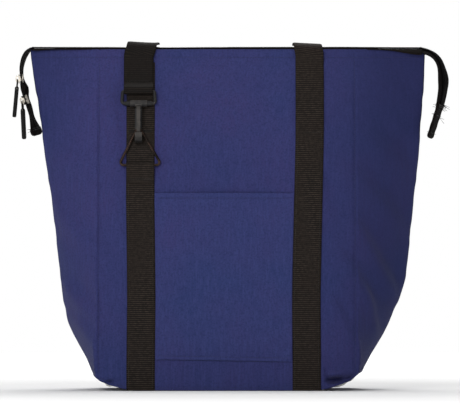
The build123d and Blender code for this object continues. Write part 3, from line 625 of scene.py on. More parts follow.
def outline_grid(side, off, nz=NZ, ng=NG, np_=NP, wr=1.0, top=TOP, room=0.0):
    """Rows up the bag, columns from the left fold round the panel to the right fold, off mm inwards."""
    v = np.linspace(0, 1, nz)
    v = 0.45 * v + 0.55 * v ** 1.9      # closer rows low down
    sg = np.linspace(0, 1, ng + 1)
    px = PANEL_X if np_ == NP else np.linspace(-HALF, HALF, np_ + 1)
    cols = []
    X = np.zeros((nz, ng + np_ + ng + 1)); Y = np.zeros_like(X); Z = np.zeros_like(X)
    ncol = X.shape[1]
    for j in range(ncol):
        if j < ng: sgn, s, x0 = -1, 1 - sg[j], None
        elif j <= ng + np_: sgn, s, x0 = 0, 0, px[j - ng]
        else: sgn, s, x0 = 1, sg[j - ng - np_], None
        zb = float(base_z(x0)) if x0 is not None else float(base_z(sgn * HALF)) + 1.5 * s
        zz = zb + 0.5 + (top - zb - 0.5) * v
        h = depth(zz)
        if x0 is not None:
            X[:, j] = x0; Y[:, j] = side * h
        else:
            f = fold(zz, sgn)
            if off > 0:
                s = s * np.clip(1 - (off + room + 0.9) / h, 0.02, 1)
            full = 3.5 * np.sin(PI * s) * step(17, 70, zz) * (1 - 0.6 * step(300, 460, zz))
            run = f - HALF
            ln = np.hypot(run, h)
            X[:, j] = sgn * (HALF + run * s + full * h / ln)
            Y[:, j] = side * (h * (1 - s) + full * run / ln)
        Z[:, j] = zz
    P = np.stack([X, Y, Z], -1)
    # soften the corners: the whole ring is smoothed with its mirror image at the folds
    mirror = P * np.array([1, -1, 1])
    ring = np.concatenate([P[:, :-1], mirror[:, ::-1][:, :-1]], axis=1)
    keep_z = ring[:, :, 2].copy()
    soft = ring.copy()
    for _ in range(5):
        soft = 0.25 * np.roll(soft, 1, 1) + 0.5 * soft + 0.25 * np.roll(soft, -1, 1)
    # spread the rounding so that the corners don't shrink
    soft = ring + (soft - ring) * 0.85
    soft[:, :, 2] = keep_z
    P = soft[:, :ncol].copy()
    if off == 0:
        # the rounded folds still reach the fold lines
        for sgn, js in ((-1, range(ng, -1, -1)), (1, range(ncol - ng - 1, ncol))):
            js = list(js)
            short = fold(P[:, js[-1], 2], sgn) + (1.3 if sgn < 0 else 2.0) * step(40, 80, P[:, js[-1], 2]) - sgn * P[:, js[-1], 0]
            for k, j in enumerate(js):
                P[:, j, 0] += sgn * short * (k / (len(js) - 1)) ** 1.4
    N = grid_normals(P)
    if side > 0:
        N = -N
    # keep fold columns' normals straight out
    N[:, 0] = unit(N[:, 0] * np.array([1, 0, 1])); N[:, -1] = unit(N[:, -1] * np.array([1, 0, 1]))
    w = wrinkle(P[:, :, 0], P[:, :, 2], side)
    # both halves of a gusset share the fold, so the cloth there moves the same way
    edge = np.ones(P.shape[1]); edge[:8] = np.linspace(0, 1, 8); edge[-8:] = np.linspace(1, 0, 8)
    share = 0.7 * value_noise(P[:, :, 2] * 0 + 3, P[:, :, 2], 26, 77) + 0.5 * value_noise(P[:, :, 2] * 0 + 9, P[:, :, 2], 11, 78)
    w = w * edge[None, :] + share * (1 - edge[None, :]) * step(30, 60, P[:, :, 2]) * (1 - step(430, 455, P[:, :, 2]))
    if off > 0:
        w = np.maximum(w, -3.0) - 0.8 - 11.0 * np.exp(-0.5 * (((P[:, :, 0] - 146) / 15) ** 2 + ((P[:, :, 2] - 16) / 10) ** 2)) * (side < 0)
    P = P + N * (w * wr - off)[:, :, None]
    P[:, :, 1] = side * np.maximum(side * P[:, :, 1], 0.35 if off == 0 and False else (0.0 if off == 0 else room + 0.4))
    N2 = grid_normals(P)
    if side > 0:
        N2 = -N2
    N2[:, 0] = unit(N2[:, 0] * np.array([1, 0, 1])); N2[:, -1] = unit(N2[:, -1] * np.array([1, 0, 1]))
    arc = np.concatenate([np.zeros((nz, 1)), np.cumsum(np.linalg.norm(np.diff(P, axis=1), axis=2), axis=1)], axis=1)
    arc = arc - arc[:, arc.shape[1] // 2][:, None]
    UV = np.stack([arc, Z], -1)
    return P, N2, UV


for sgn in (-1, 1):
    top_x, low_x = sgn * fold(460.0, sgn), sgn * fold(122.0, sgn)
    a = np.array([top_x, 460.0]); b = np.array([low_x, 122.0])
    d = unit(a - b)
    inward = np.array([-sgn * d[1] * (1 if True else 1), 0.0])
    n = np.array([-d[1], d[0]])
    if n[0] * sgn > 0: n = -n


def blend_back(ob):
    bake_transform(ob)


def emit_sheet(name, P, N, UV, thick, side, mat, replaces=(), split=False, flat=None, declare=True):
    """Front sheets ride the bag; back sheets are split at the middle and left in place."""
    made = []
    if side < 0:
        V, F, U, NN = slab(P, N, thick, UV, side=side)
        ob = new_object(name, V, F, U, True, mat)
        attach(ob, "bag")
        made.append(ob)
    else:
        mid = P.shape[1] // 2
        for word, sl, sgn in (("left", slice(0, mid + 1), -1), ("right", slice(mid, None), 1)):
            V, F, U, NN = slab(P[:, sl], N[:, sl], thick, UV[:, sl], flip=True, side=side)
            ob = new_object(name + "_" + word, V, F, U, True, mat, normals=None)
            blend_back(ob)
            made.append(ob)
    for k, ob in enumerate(made):
        part = replaces[k] if k < len(replaces) else ()
        if part:
            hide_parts(*part)
    return made


front_P, front_N, front_UV = outline_grid(-1, 0.0)
back_P, back_N, back_UV = outline_grid(1, 0.0)
shell_front = emit_sheet("front_shell", front_P, front_N, front_UV, 1.0, -1, M["shell"], [("front_panel", "left_gusset", "right_gusset")])
shell_back = emit_sheet("back_shell", back_P, back_N, back_UV, 1.0, 1, M["shell"], [("back_panel",), ("back_panel",)])

for side, word, rep in ((-1, "front", [("front_foam", "left_gusset_foam", "right_gusset_foam")]), (1, "back", [("back_foam",), ("back_foam",)])):
    P, N, UV = outline_grid(side, 1.7, 110, 20, 90, 0.9, TOP - 1.5, 3.8)
    emit_sheet(word + "_foam_sheet", P, N, UV, 3.8, side, M["foam"], rep)
for side, word, rep in ((-1, "front", [("front_lining", "left_gusset_lining", "right_gusset_lining")]), (1, "back", [("back_lining",), ("back_lining",)])):
    P, N, UV = outline_grid(side, 6.0, 110, 20, 90, 0.9, TOP - 0.8, 0.5)
    emit_sheet(word + "_foil_sheet", P, N, UV, 0.5, side, M["foil"], rep)

# base: outer cloth turned up at both ends, and its lining
bx = PANEL_X
by_ = np.linspace(-87.2, 87.2, 44)
BX, BY = np.meshgrid(bx, by_)
BZ = base_z(BX)
BP = np.stack([BX, BY, BZ], -1)
bn = np.zeros_like(BP); bn[..., 2] = -1.0
V, F, U, _ = slab(BP, bn, 1.1, np.stack([BX, BY], -1), flip=True)
base_cloth = new_object("base_cloth", V, F, U, True, M["shell_in"])
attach(base_cloth, "bag"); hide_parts("base_panel")
lx, ly = np.meshgrid(np.linspace(-158, 158, 60), np.linspace(-73, 73, 34))
lz = np.maximum(8.75, base_z(lx) + 8.6) + 0.22 * value_noise(lx + 300, ly + 300, 34, 91) + 0.12 * value_noise(lx + 300, ly + 300, 12, 92)
LP = np.stack([lx, ly, lz + 0.35], -1)
ln_ = np.zeros_like(LP); ln_[..., 2] = 1.0
V, F, U, _ = slab(LP, ln_, 0.5, np.stack([lx, ly], -1))
base_foil = new_object("base_foil", V, F, U, True, M["foil"])
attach(base_foil, "bag"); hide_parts("base_lining")
for name, z0, th_, hx, hy, mat, node, sl in (("base_board_sheet", 3.4, 1.9, 132, 71, "board", "base_board", "base_board"), ("base_foam_pad", 8.3, 4.6, 136, 72, "foam", "base_foam", "insulating_foam")):
    gx, gy = np.meshgrid(np.linspace(-hx, hx, 60), np.linspace(-hy, hy, 30))
    corner = np.hypot(np.maximum(np.abs(gx) - hx + 14, 0), np.maximum(np.abs(gy) - hy + 14, 0))
    pull_in = np.where(corner > 14, 14 / np.maximum(corner, 1e-6), 1.0)
    gx = np.where((np.abs(gx) > hx - 14) & (np.abs(gy) > hy - 14), np.sign(gx) * (hx - 14 + (np.abs(gx) - hx + 14) * pull_in), gx)
    gy = np.where((np.abs(gx) > hx - 14) & (np.abs(gy) > hy - 14), np.sign(gy) * (hy - 14 + (np.abs(gy) - hy + 14) * pull_in), gy)
    gz = np.maximum(z0, base_z(gx) + z0 - 0.2)
    up = np.zeros(gx.shape + (3,)); up[..., 2] = 1
    V, F, U, _ = slab(np.stack([gx, gy, gz], -1), up, th_, np.stack([gx, gy], -1))
    ob = new_object(name, V, F, U, True, None)
    ob.data.materials.append({"board": BOARD, "foam": M["foam"]}[mat])
    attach(ob, "bag"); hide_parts(node)

# -------------------------------------------------------------------------- pocket
def strap_x(z):
    """Middle of the right front strap, which leans a little."""
    return np.interp(z, [0, 27, 122, 190, 258, 340, 400, 460], [108.0, 108.0, 107.6, 108.8, 110.4, 112.3, 112.6, 112.4])


def left_x(z):
    """Middle of the left front strap."""
    return np.interp(z, [0, 27, 122, 190, 258, 340, 400, 460], [-116.9, -116.9, -116.1, -116.8, -117.8, -117.5, -117.4, -117.4])


pz = np.concatenate([np.linspace(42, 52, 12), np.linspace(52, 254, 84)[1:], np.linspace(254, 268, 15)[1:]])
mid, PZ = np.meshgrid(np.linspace(0, 1, 110), pz)
rise = (PZ - 42) / 226
PX = (left_x(PZ) + 19.35) * (1 - mid) + (strap_x(PZ) - 19.35) * mid
puff = 2.6 * np.sin(PI * mid) ** 0.7 * (0.25 + 0.75 * np.sin(PI * np.clip(rise * 0.86 + 0.05, 0, 1)) ** 0.8)
puff += 1.4 * np.sin(PI * mid) ** 2 * step(0.86, 1.0, rise)
puff += 0.5 * value_noise(PX + 700, PZ, 60, 41) * np.sin(PI * mid) + 0.18 * value_noise(PX + 700, PZ, 17, 42)
puff += crease(PX, PZ, -60, 60, 10, 140, 12, 0.8) + crease(PX, PZ, 20, 60, 78, 150, 12, 0.8) + crease(PX, PZ, -88, 250, -40, 200, 10, 0.6)
roll = 1.0 - step(42, 47, PZ)
puff = puff * step(42, 54, PZ) + 1.9 * np.exp(-0.5 * ((PZ - 44.0) / 1.7) ** 2) * step(41.9, 43.4, PZ) - 0.4 * roll
hem_low = 261.5
puff += 0.55 * step(hem_low, hem_low + 1.5, PZ) - 0.5 * np.exp(-0.5 * ((PZ - hem_low) / 1.3) ** 2) * (1 + 0.5 * np.sin(PX / 9 * 2 * PI))
edge_lie = step(0.0, 0.05, mid) * (1 - step(0.95, 1.0, mid))
puff = puff * edge_lie - 0.15 * (1 - edge_lie)
PZ = PZ - 3.2 * mid * (1 - rise) ** 2
PY = front_y(PX, PZ, 1.5 + puff)
ny, nz_ = wall_normal(PZ)
PP = np.stack([PX, PY, PZ], -1)
PN = -grid_normals(PP)
if PN[40, 40, 1] > 0: PN = -PN
V, F, U, _ = slab(PP, PN, 1.0, np.stack([PX, PZ], -1))
pocket = new_object("pocket_cloth", V, F, U, True, M["pocket"])
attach(pocket, "bag"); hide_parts("front_pocket")
pocket_face = PP


# ------------------------------------------------------------------------- webbing
def wall_run(xc, z0, z1, off, side=-1, n=None):
    n = n or int((z1 - z0) / 0.7)
    z = np.linspace(z0, z1, n)
    x = xc(z) if callable(xc) else np.full(n, float(xc))
    y = front_y(x, z, off, side)
    return np.stack([x, y, z], 1)


def web_object(name, line, across, mat, body, width=38.4, thick=1.5, replaces=(), uv0=0.0, ride=True, nu=19):
    w, nn = frames_for(line, across)
    V, F, U = ribbon(line, w, nn, width, thick, uv0=uv0, nu=nu)
    ob = new_object(name, V, F, U, True, mat)
    me = ob.data
    import bmesh
    bm = bmesh.new(); bm.from_mesh(me); bmesh.ops.recalc_face_normals(bm, faces=bm.faces); bm.to_mesh(me); bm.free()
    if ride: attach(ob, body)
    if replaces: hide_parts(*replaces)
    return ob


ACROSS = np.array([[1.0, 0, 0]])
# front left: sewn from the base to the bar tack, then loose behind the hook
zl = np.arange(0.6, 446.0, 0.7)
xl = left_x(zl)
off = 0.95 + 0.9 * step(354, 372, zl) * (1 - step(420, 444, zl)) * 0.6
left_line = np.stack([xl, front_y(xl * 0 + STRAP_L, zl, off), zl], 1)
web_object("left_front_webbing", left_line, ACROSS, M["webbing"], "bag", replaces=("front_left_strap",))

# front right: sewn to the tack, free above it, then over the mouth and down to the drape behind
zr = np.arange(0.6, 452.0, 0.7)
xr = strap_x(zr)
offr = 0.95 + 1.2 * step(354, 376, zr) * (1 - 0.5 * step(420, 452, zr))
right_line = np.stack([xr, front_y(xr * 0 + STRAP_R, zr, offr), zr], 1)


def over_mouth(x0, x1, lift):
    """The turn from the front wall over the mouth to its back edge: (x, y, z), wandering from x0 to x1."""
    pts = [(-14.5, 455.5), (-12.6, 462.0), (-11.0, 466.6 + lift * 0.6), (-8.0, 469.7 + lift), (-3.5, 471.3 + lift), (1.5, 471.6 + lift), (6.5, 470.7 + lift), (10.2, 467.6 + lift)]
    k = len(pts)
    return np.array([(x0 + (x1 - x0) * (i / (k - 1)) ** 0.75, y, z) for i, (y, z) in enumerate(pts)])


r_turn = over_mouth(xr[-1], xr[-1] - 4.5, 0.0)
l_turn = over_mouth(HOOK_X + 0.2, HOOK_X + 9.0, 1.3)


def lean_across(n, tilt0, tilt1):
    """Width direction that tips up a little along the run, as webbing does when it goes over at an angle."""
    t = np.linspace(0, 1, n)
    a = np.radians(tilt0 + (tilt1 - tilt0) * step(0.35, 1.0, t))
    return np.stack([np.cos(a), np.zeros(n), np.sin(a)], 1)


line = resample(np.concatenate([right_line[::60], right_line[-12:-11], r_turn]), 0.7)
ob = web_object("right_front_webbing", line, lean_across(len(line), 0, -3), M["webbing"], "bag", replaces=("front_right_strap",), ride=False)
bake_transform(ob)

# left: the handle's end folded round the hook frame's upper bar and sewn back on itself
J = {j["name"]: j for j in frame["joints"]}
bar = np.array(J["hook_frame_swing"]["pos_m"]) / MM
zt = np.arange(421.0, 453.0, 1.0)
tab_up = np.stack([np.full(len(zt), HOOK_X), front_y(np.full(len(zt), STRAP_L), zt, 3.4), zt], 1)
ang = np.radians(np.arange(-78, 200, 16))
loop_r = 3.25
# from under the strap, down behind the bar, round it and up in front
start = np.array([(HOOK_X, front_y(STRAP_L, 424.0, 3.0), 424.0), (HOOK_X, front_y(STRAP_L, 416.0, 3.1), 416.0)])
circle = np.array([(HOOK_X, bar[1] + loop_r * math.cos(a), bar[2] + loop_r * math.sin(a)) for a in np.radians([20, -10, -45, -80, -115, -150, -180, -205])])
front_leg = np.array([(HOOK_X, bar[1] - 3.0, bar[2] + 5.5), (HOOK_X, front_y(STRAP_L, 416.0, 5.2), 417.0)])
tab_line = resample(np.concatenate([start, circle, front_leg, tab_up[3::6] - np.array([[0, 0.9, 0]]), l_turn]), 0.7)
ob = web_object("hook_end_webbing", tab_line, lean_across(len(tab_line), 0, -3), M["webbing_fold"], "bag", replaces=("hook_tab",), ride=False, width=40.2)
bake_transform(ob)

# ring tab: webbing doubled round the ring's base bar and sewn on to the strap
ringc = np.array(J["ring_swing"]["pos_m"]) / MM
rr = 2.75
tab = [(STRAP_L, front_y(STRAP_L, 281.0, 2.6), 281.0), (STRAP_L, front_y(STRAP_L, 290.0, 2.7), 290.0), (STRAP_L, ringc[1] + rr + 0.1, ringc[2] - 4.0)]
tab += [(STRAP_L, ringc[1] + rr * math.cos(a), ringc[2] + rr * math.sin(a)) for a in np.radians([0, 40, 80, 120, 160, 195])]
tab += [(STRAP_L, ringc[1] - rr + 0.5, ringc[2] - 5.0), (STRAP_L, front_y(STRAP_L, 290.0, 4.3), 290.5), (STRAP_L, front_y(STRAP_L, 281.0, 4.1), 281.0)]
line = resample(np.array(tab), 0.7)
web_object("ring_tab_webbing", line, ACROSS, M["webbing"], "bag", width=37.4, thick=1.35, replaces=("ring_tab",))

# drape of the front handle behind the bag
MID = (HOOK_X + STRAP_R) / 2
DRAPE = [((HOOK_X + 9.0, 10.4, 467.5 + 1.3), -3), ((HOOK_X + 8.4, 13.5, 462.0), 3), ((HOOK_X + 7.4, 18.6, 452.0), 5), ((HOOK_X + 8, 26.0, 436.0), 14),
         ((HOOK_X + 16, 40.5, 408.0), 42), ((HOOK_X + 23, 48.5, 393.0), 60), ((HOOK_X + 33, 56.0, 376.0), 75), ((HOOK_X + 51, 65.0, 341.0), 87),
         ((HOOK_X + 70, 71.5, 305.0), 91), ((HOOK_X + 88, 75.6, 278.0), 92), ((HOOK_X + 102, 77.4, 264.0), 91), ((MID, 78.0, 259.0), 90)]
left_pts = [(p, a) for p, a in DRAPE]
right_pts = [((2 * MID - p[0], p[1], p[2]), 180 - a) for p, a in reversed(DRAPE[:-1])]
right_pts[-1] = ((STRAP_R + 0.9, 10.4, 467.5), 177); right_pts[-2] = ((STRAP_R - 1.5, 13.5, 461.0), 177)
pts = left_pts + right_pts
line, ex = resample([p for p, a in pts], 0.7, [(math.cos(math.radians(a)), math.sin(math.radians(a))) for p, a in pts])
acr = np.stack([ex[:, 0], ex[:, 1], np.zeros(len(ex))], 1)
cut = len(line) // 2
# the two legs turn down over the mouth's edge; the loop is one piece
ob = web_object("front_handle_webbing", line, unit(acr), M["webbing"], "front_handle", replaces=("front_handle", "front_handle_left_turn", "front_handle_right_turn"), ride=False)
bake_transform(ob)

# back straps and back handle
bpos = np.array(J["back_handle_swing"]["pos_m"]) / MM
BMID = (STRAP_L + STRAP_R) / 2
R_BEND = 6.6
for word, xc, sgn in (("left", STRAP_L, -1), ("right", STRAP_R, 1)):
    z = np.arange(0.6, 346.0, 0.7)
    run = np.stack([np.full(len(z), xc), front_y(np.full(len(z), xc), z, 0.95, 1), z], 1)
    arc = np.array([(xc, bpos[1] - R_BEND * math.cos(a), bpos[2] + R_BEND * math.sin(a)) for a in np.radians([8, 30, 52, 74, 90])])
    line = resample(np.concatenate([run[::70], run[-1:], arc]), 0.7)
    ob = web_object("back_strap_webbing_" + word, line, ACROSS, M["webbing"], "back_wall", replaces=("back_" + word + "_strap",), ride=False)
    blend_back(ob)
oy, oz = bpos[1], bpos[2]
BD = [((STRAP_L, oy + 0.1, oz + R_BEND), 0), ((STRAP_L, oy + 4.8, oz + 5.0), 0), ((STRAP_L, oy + 8.6, oz + 0.5), 0), ((STRAP_L, oy + 12.5, oz - 9), 0), ((STRAP_L, oy + 17.0, oz - 30), 0),
      ((STRAP_L, oy + 25.0, oz - 64), 6), ((STRAP_L + 1, oy + 35, oz - 100), 24), ((STRAP_L + 5, oy + 46.5, oz - 138), 56), ((STRAP_L + 15, oy + 54.5, oz - 178), 80),
      ((STRAP_L + 34, oy + 60, oz - 214), 90), ((STRAP_L + 60, oy + 64, oz - 244), 91), ((STRAP_L + 85, oy + 66.4, oz - 260), 91), ((BMID, oy + 67.5, oz - 268), 90)]
pts = BD + [((2 * BMID - p[0], p[1], p[2]), 180 - a) for p, a in reversed(BD[:-1])]
line, ex = resample([p for p, a in pts], 0.7, [(math.cos(math.radians(a)), math.sin(math.radians(a))) for p, a in pts])
acr = unit(np.stack([ex[:, 0], ex[:, 1], np.zeros(len(ex))], 1))
ob = web_object("back_handle_webbing", line, acr, M["webbing"], "back_handle", replaces=("back_handle",), ride=False)
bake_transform(ob)

# -------------------------------------------------------------------------- zipper
def strip_slab(line, across, x0, x1, y0, y1, normal=None):
    """A flat strip x0..x1 across and y0..y1 off a line, closed."""
    w, nn = frames_for(line, across)
    if normal is not None and np.sum(nn[0] * normal) < 0: nn = -nn
    t = np.linspace(0, 1, 6)
    P = line[:, None, :] + (x0 + (x1 - x0) * t)[None, :, None] * w[:, None, :] + y1 * nn[:, None, :]
    N = np.broadcast_to(nn[:, None, :], P.shape)
    s = np.concatenate([[0], np.cumsum(np.linalg.norm(np.diff(line, axis=0), axis=1))])
    UV = np.stack(np.broadcast_arrays((x0 + (x1 - x0) * t)[None, :], s[:, None]), -1)
    return slab(P, N, y1 - y0, UV), w, nn


def teeth(bag, line, w, nn, x_in, x_out, y_mid, pitch=1.55, r=0.55):
    """Coil wound along one side of the slit: each turn loops out over the cord and dips back in."""
    s = np.concatenate([[0], np.cumsum(np.linalg.norm(np.diff(line, axis=0), axis=1))])
    k = int(s[-1] / pitch)
    t = unit(np.gradient(line, axis=0))
    for i in range(k):
        q = (i + 0.5) * pitch
        c = np.array([np.interp(q, s, line[:, j]) for j in range(3)])
        W = unit(np.array([np.interp(q, s, w[:, j]) for j in range(3)]))
        Nn = unit(np.array([np.interp(q, s, nn[:, j]) for j in range(3)]))
        T = unit(np.array([np.interp(q, s, t[:, j]) for j in range(3)]))
        sgn = 1 if x_out > x_in else -1
        pts = [(x_in, y_mid - 0.2, -0.12), (x_in, y_mid + 0.45, 0.0), (x_in + sgn * 0.7, y_mid + 0.8, 0.06), (x_out - sgn * 0.5, y_mid + 0.62, 0.12), (x_out, y_mid - 0.1, 0.16), (x_out - sgn * 0.4, y_mid - 0.7, 0.2)]
        P = np.array([c + W * a + Nn * b + T * d * pitch for a, b, d in pts])
        V, F = tube(P, r, 5)
        bag.add(V, F)


def coil_cord(bag, line, w, nn, sd):
    """The filler cord that each coil is wound on, which also closes the slit."""
    (Vv, Ff, Uu, _), _w, _n = strip_slab(line, w, sd * 0.06, sd * 2.45, 0.55, 1.95, nn[0])
    bag.add(Vv, Ff, Uu)


def z_line(x0, x1, n):
    x = np.linspace(x0, x1, n)
    zz = 464.7 + 0.35 * np.sin(x / 55.0) + 0.25 * value_noise(x + 600, x * 0, 40, 61)
    return np.stack([x, np.zeros(n), zz], 1)


YW = np.array([[0.0, 1.0, 0]])
UP = np.array([0.0, 0, 1.0])
for word, sd in (("front", -1), ("back", 1)):
    for part, xa, xb, sgn in ((("all", -266.0, 266.0, 0),) if sd < 0 else (("left", -266.0, 0.0, -1), ("right", 0.0, 266.0, 1))):
        line = z_line(xa, xb, 260)
        b = Bag()
        # tape; on the front its ends are drawn down and outwards
        (Vv, Ff, Uu, _), w, nn = strip_slab(line, YW, sd * 1.0, sd * 8.6, -1.35, 0.35, UP)
        if sd < 0:
            out = np.clip((-Vv[:, 1] - 1.0) / 7.3, 0, 1)
            pull = step(190, 264, Vv[:, 0]) * out
            Vv[:, 1] -= 3.4 * pull; Vv[:, 2] -= 7.0 * pull ** 2
            pull = step(-225, -262, Vv[:, 0]) * out
            Vv[:, 1] -= 1.2 * pull; Vv[:, 2] -= 1.6 * pull ** 2
        b.add(Vv, Ff, Uu)
        tape_ob = b.build("mouth_tape_%s_%s" % (word, part), M["tape"])
        c = Bag()
        teeth(c, line, w if w[0][1] > 0 else -w, np.abs(nn), sd * 0.35, sd * 2.7, 1.35)
        coil_cord(c, line, w if w[0][1] > 0 else -w, np.abs(nn), sd)
        coil_ob = c.build("mouth_coil_%s_%s" % (word, part), M["coil"])
        for ob, nd, sl in ((tape_ob, "zipper_tape_", "zipper_tape"), (coil_ob, "zipper_coil_", "zipper_coil")):
            if sd < 0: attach(ob, "bag")
            else: blend_back(ob)
            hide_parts(nd + word)

LEFT_TAIL = [((-263.0, 0, 464.9), 0), ((-266.0, 0, 464.6), 5), ((-269.3, 0, 463.2), 10), ((-273.4, 0, 458.8), 13), ((-277.4, 0, 450.6), 12), ((-280.2, 0, 437.8), 8),
             ((-279.95, 0, 424.0), 5), ((-279.4, 0, 411.5), 7), ((-276.8, 0, 403.0), 13.4), ((-272.0, 0, 388.2), 14), ((-266.0, 0, 370.0), 15.5), ((-260.5, 0, 353.0), 29)]
RIGHT_TAIL = [((263.0, 0, 464.9), -24), ((268.0, 0, 463.9), -27), ((277.5, 0, 460.4), -26), ((286.0, 0, 452.5), -24), ((291.8, 0, 441.0), -28), ((295.0, 0, 424.0), -36),
              ((294.6, 0, 408.0), -27), ((291.4, 0, 391.0), -22), ((287.0, 0, 376.0), -18), ((278.3, 0, 349.0), -17)]


def tail_frames(points):
    line, ex = resample([p for p, a in points], 1.0, [(a,) for p, a in points])
    t = unit(np.gradient(line, axis=0))
    sgn = -1 if line[-1][0] < 0 else 1
    Y = np.array([0.0, 1.0, 0])
    out = np.cross(np.broadcast_to(Y, t.shape), t)
    out = np.where((out[:, :1] * sgn > 0) | (out[:, 2:3] > 0.5), out, -out)
    a = np.radians(ex[:, :1])
    w = Y * np.cos(a) - out * np.sin(a)
    return line, unit(w), t


for word, stations, body, hin, hout in (("left", LEFT_TAIL, "left_tail", (-0.2655, 0, 0.4655), (-0.277, 0, 0.4525)), ("right", RIGHT_TAIL, "right_tail", (0.2655, 0, 0.4655), (0.279, 0, 0.456))):
    line, w, t = tail_frames(stations)
    sgn = -1 if word == "left" else 1
    nn = np.cross(t, w)
    nn = np.where((nn[:, :1] * sgn > 0) | (nn[:, 2:3] > 0.5), nn, -nn)
    tb, cb = Bag(), Bag()
    s = np.concatenate([[0], np.cumsum(np.linalg.norm(np.diff(line, axis=0), axis=1))])
    for sd in (-1, 1):
        tt = np.linspace(0, 1, 7)
        wid = 13.2 + 0.5 * np.sin(s / 9.0 + sd)
        grow = step(0, 9, s)[:, None]
        half = 8.3 + (wid[:, None] - 8.3) * grow
        xx = sd * (1.0 + (half - 1.0) * tt[None, :])
        curl = 0.9 * (tt[None, :] ** 2) * np.sin(s[:, None] / 14.0 + sd * 1.3) * grow
        ws, ns = w, nn
        if word == "right" and sd > 0:
            # the back half lies flat over the corner and joins the turn lower down
            flat = (1 - step(4, 34, s))[:, None]
            ws = unit(w * (1 - flat) + np.array([0.0, 1.0, 0.0]) * flat)
            ns = np.cross(t, ws)
            ns = np.where(np.sum(ns * nn, axis=1, keepdims=True) > 0, ns, -ns)
        if word == "left":
            # below the upper slider the free edges of the tape belly towards the bag
            inward = np.sign(ns[:, :1])
            belly = np.exp(-(((line[:, 2] - 411.0) / 9.5) ** 2)) * 6.0 + np.exp(-(((line[:, 2] - 386.0) / 12.0) ** 2)) * 2.2
            curl = curl * 0.6 + inward * belly[:, None] * step(0.38, 0.95, tt)[None, :]
        P = line[:, None, :] + xx[:, :, None] * ws[:, None, :] + (0.35 + curl)[:, :, None] * ns[:, None, :]
        N = np.broadcast_to(ns[:, None, :], P.shape)
        UV = np.stack(np.broadcast_arrays(xx, s[:, None]), -1)
        V, F, U, _ = slab(P, N, 0.65, UV)
        tb.add(V, F, U)
        teeth(cb, line, ws, ns, sd * 0.35, sd * 2.7, 1.35)
        a2 = np.linspace(0, 1, 3)
        Pc = line[:, None, :] + (sd * (0.06 + 2.39 * a2))[None, :, None] * ws[:, None, :] + 1.95 * ns[:, None, :]
        V, F, U, _ = slab(Pc, np.broadcast_to(ns[:, None, :], Pc.shape), 1.4, np.stack(np.broadcast_arrays((sd * a2)[None, :], s[:, None]), -1))
        cb.add(V, F, U)
    ob = tb.build(word + "_tail_cloth", M["tape"]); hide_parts(word + "_tail_tape")
    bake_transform(ob)
    ob = cb.build(word + "_tail_teeth", M["coil"]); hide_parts(word + "_tail_coil")
    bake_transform(ob)
    # sewn end: tape folded back, a rounded tab with bar tacks and a few loose threads
    e = Bag()
    c0, tw, ww, nw = line[-1], t[-1], w[-1], nn[-1]
    L0 = 42.0 if word == "right" else 3.5
    k = np.linspace(-L0, 6.5, 34)

    def at(q, line=line, w=w, nn=nn, t=t, s=s):
        if q > 0:
            return line[-1] + t[-1] * q, w[-1], nn[-1]
        p = s[-1] + q
        f = lambda A: np.array([np.interp(p, s, A[:, j]) for j in range(3)])
        return f(line), unit(f(w)), unit(f(nn))

    for sd in (-1, 1):
        rowP = []
        for q in k:
            u = np.linspace(-1, 1, 15)
            r_end = 1.0 if q < 2 else math.sqrt(max(0.02, 1 - ((q - 2) / 4.2) ** 2))
            hw = 13.9 * (0.55 + 0.45 * r_end)
            lift = 2.2 * (r_end ** 0.6) * (1 - 0.5 * np.abs(u) ** 6)
            cq, wq, nq = at(q)
            hw = min(hw, 13.9) * (1.0 if word == "left" else 0.93)
            lift = lift * (1.0 + 0.10 * math.sin(q / 2.3) + 0.25 * step(-L0 + 6, -L0 + 1, q))
            rowP.append(cq + np.outer(u * hw, wq) + np.outer(sd * lift + 0.25, nq))
        P = np.array(rowP)
        N = np.broadcast_to(nw * sd, P.shape)
        uu, kk = np.meshgrid(np.linspace(-13.9, 13.9, 15), k)
        V, F, U, _ = slab(P, N, 0.9, np.stack([uu, kk], -1), flip=(sd > 0))
        e.add(V, F, U)
    ob = e.build(word + "_tail_end_cloth", M["tape"])
    import bmesh
    bm = bmesh.new(); bm.from_mesh(ob.data); bmesh.ops.recalc_face_normals(bm, faces=bm.faces); bm.to_mesh(ob.data); bm.free()
    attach(ob, body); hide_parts(word + "_tail_end")
    th = Bag()
    for q in ([-L0 + 1.5, -L0 + 3.6, -L0 + 16, -1.0] if word == "right" else [-4.0, -1.6]):
        for sd in (-1, 1):
            cq, wq, nq = at(q)
            ln2 = np.array([cq + wq * u + nq * (sd * 2.6 + 0.25) for u in np.linspace(-12.2, 12.2, 30)])
            stitch_run(th, ln2, np.broadcast_to(nq * sd, ln2.shape), 1.5, 1.7, 0.32)
    rs = np.random.RandomState(5 if word == "right" else 8)
    for i in range(26 if word == "right" else 4):
        q = (rs.uniform(-L0 - 1, -L0 + 7) if i < 20 else rs.uniform(-L0 + 14, -L0 + 20)) if word == "right" else rs.uniform(-6, 0)
        sd = rs.choice([-1, 1])
        cq, wq, nq = at(q)
        side2 = rs.choice([-1, 1])
        p = cq + wq * sd * rs.uniform(6.5, 12.5) + nq * side2 * 2.2
        d = unit(wq * sd * rs.uniform(0.1, 0.8) + nq * side2 * rs.uniform(0.4, 1.2) + tw * rs.uniform(-0.6, 0.6))
        g = unit(np.array([rs.uniform(-1, 1), rs.uniform(-1, 1), -0.6]))
        L = rs.uniform(3.0, 8.0)
        u = np.linspace(0, 1, 7)[:, None]
        V, F = tube(p + d * L * u + g * L * 0.45 * u * u, 0.24, 5)
        th.add(V, F)
    ob = th.build(word + "_tail_threads", M["thread_black"])
    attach(ob, body)

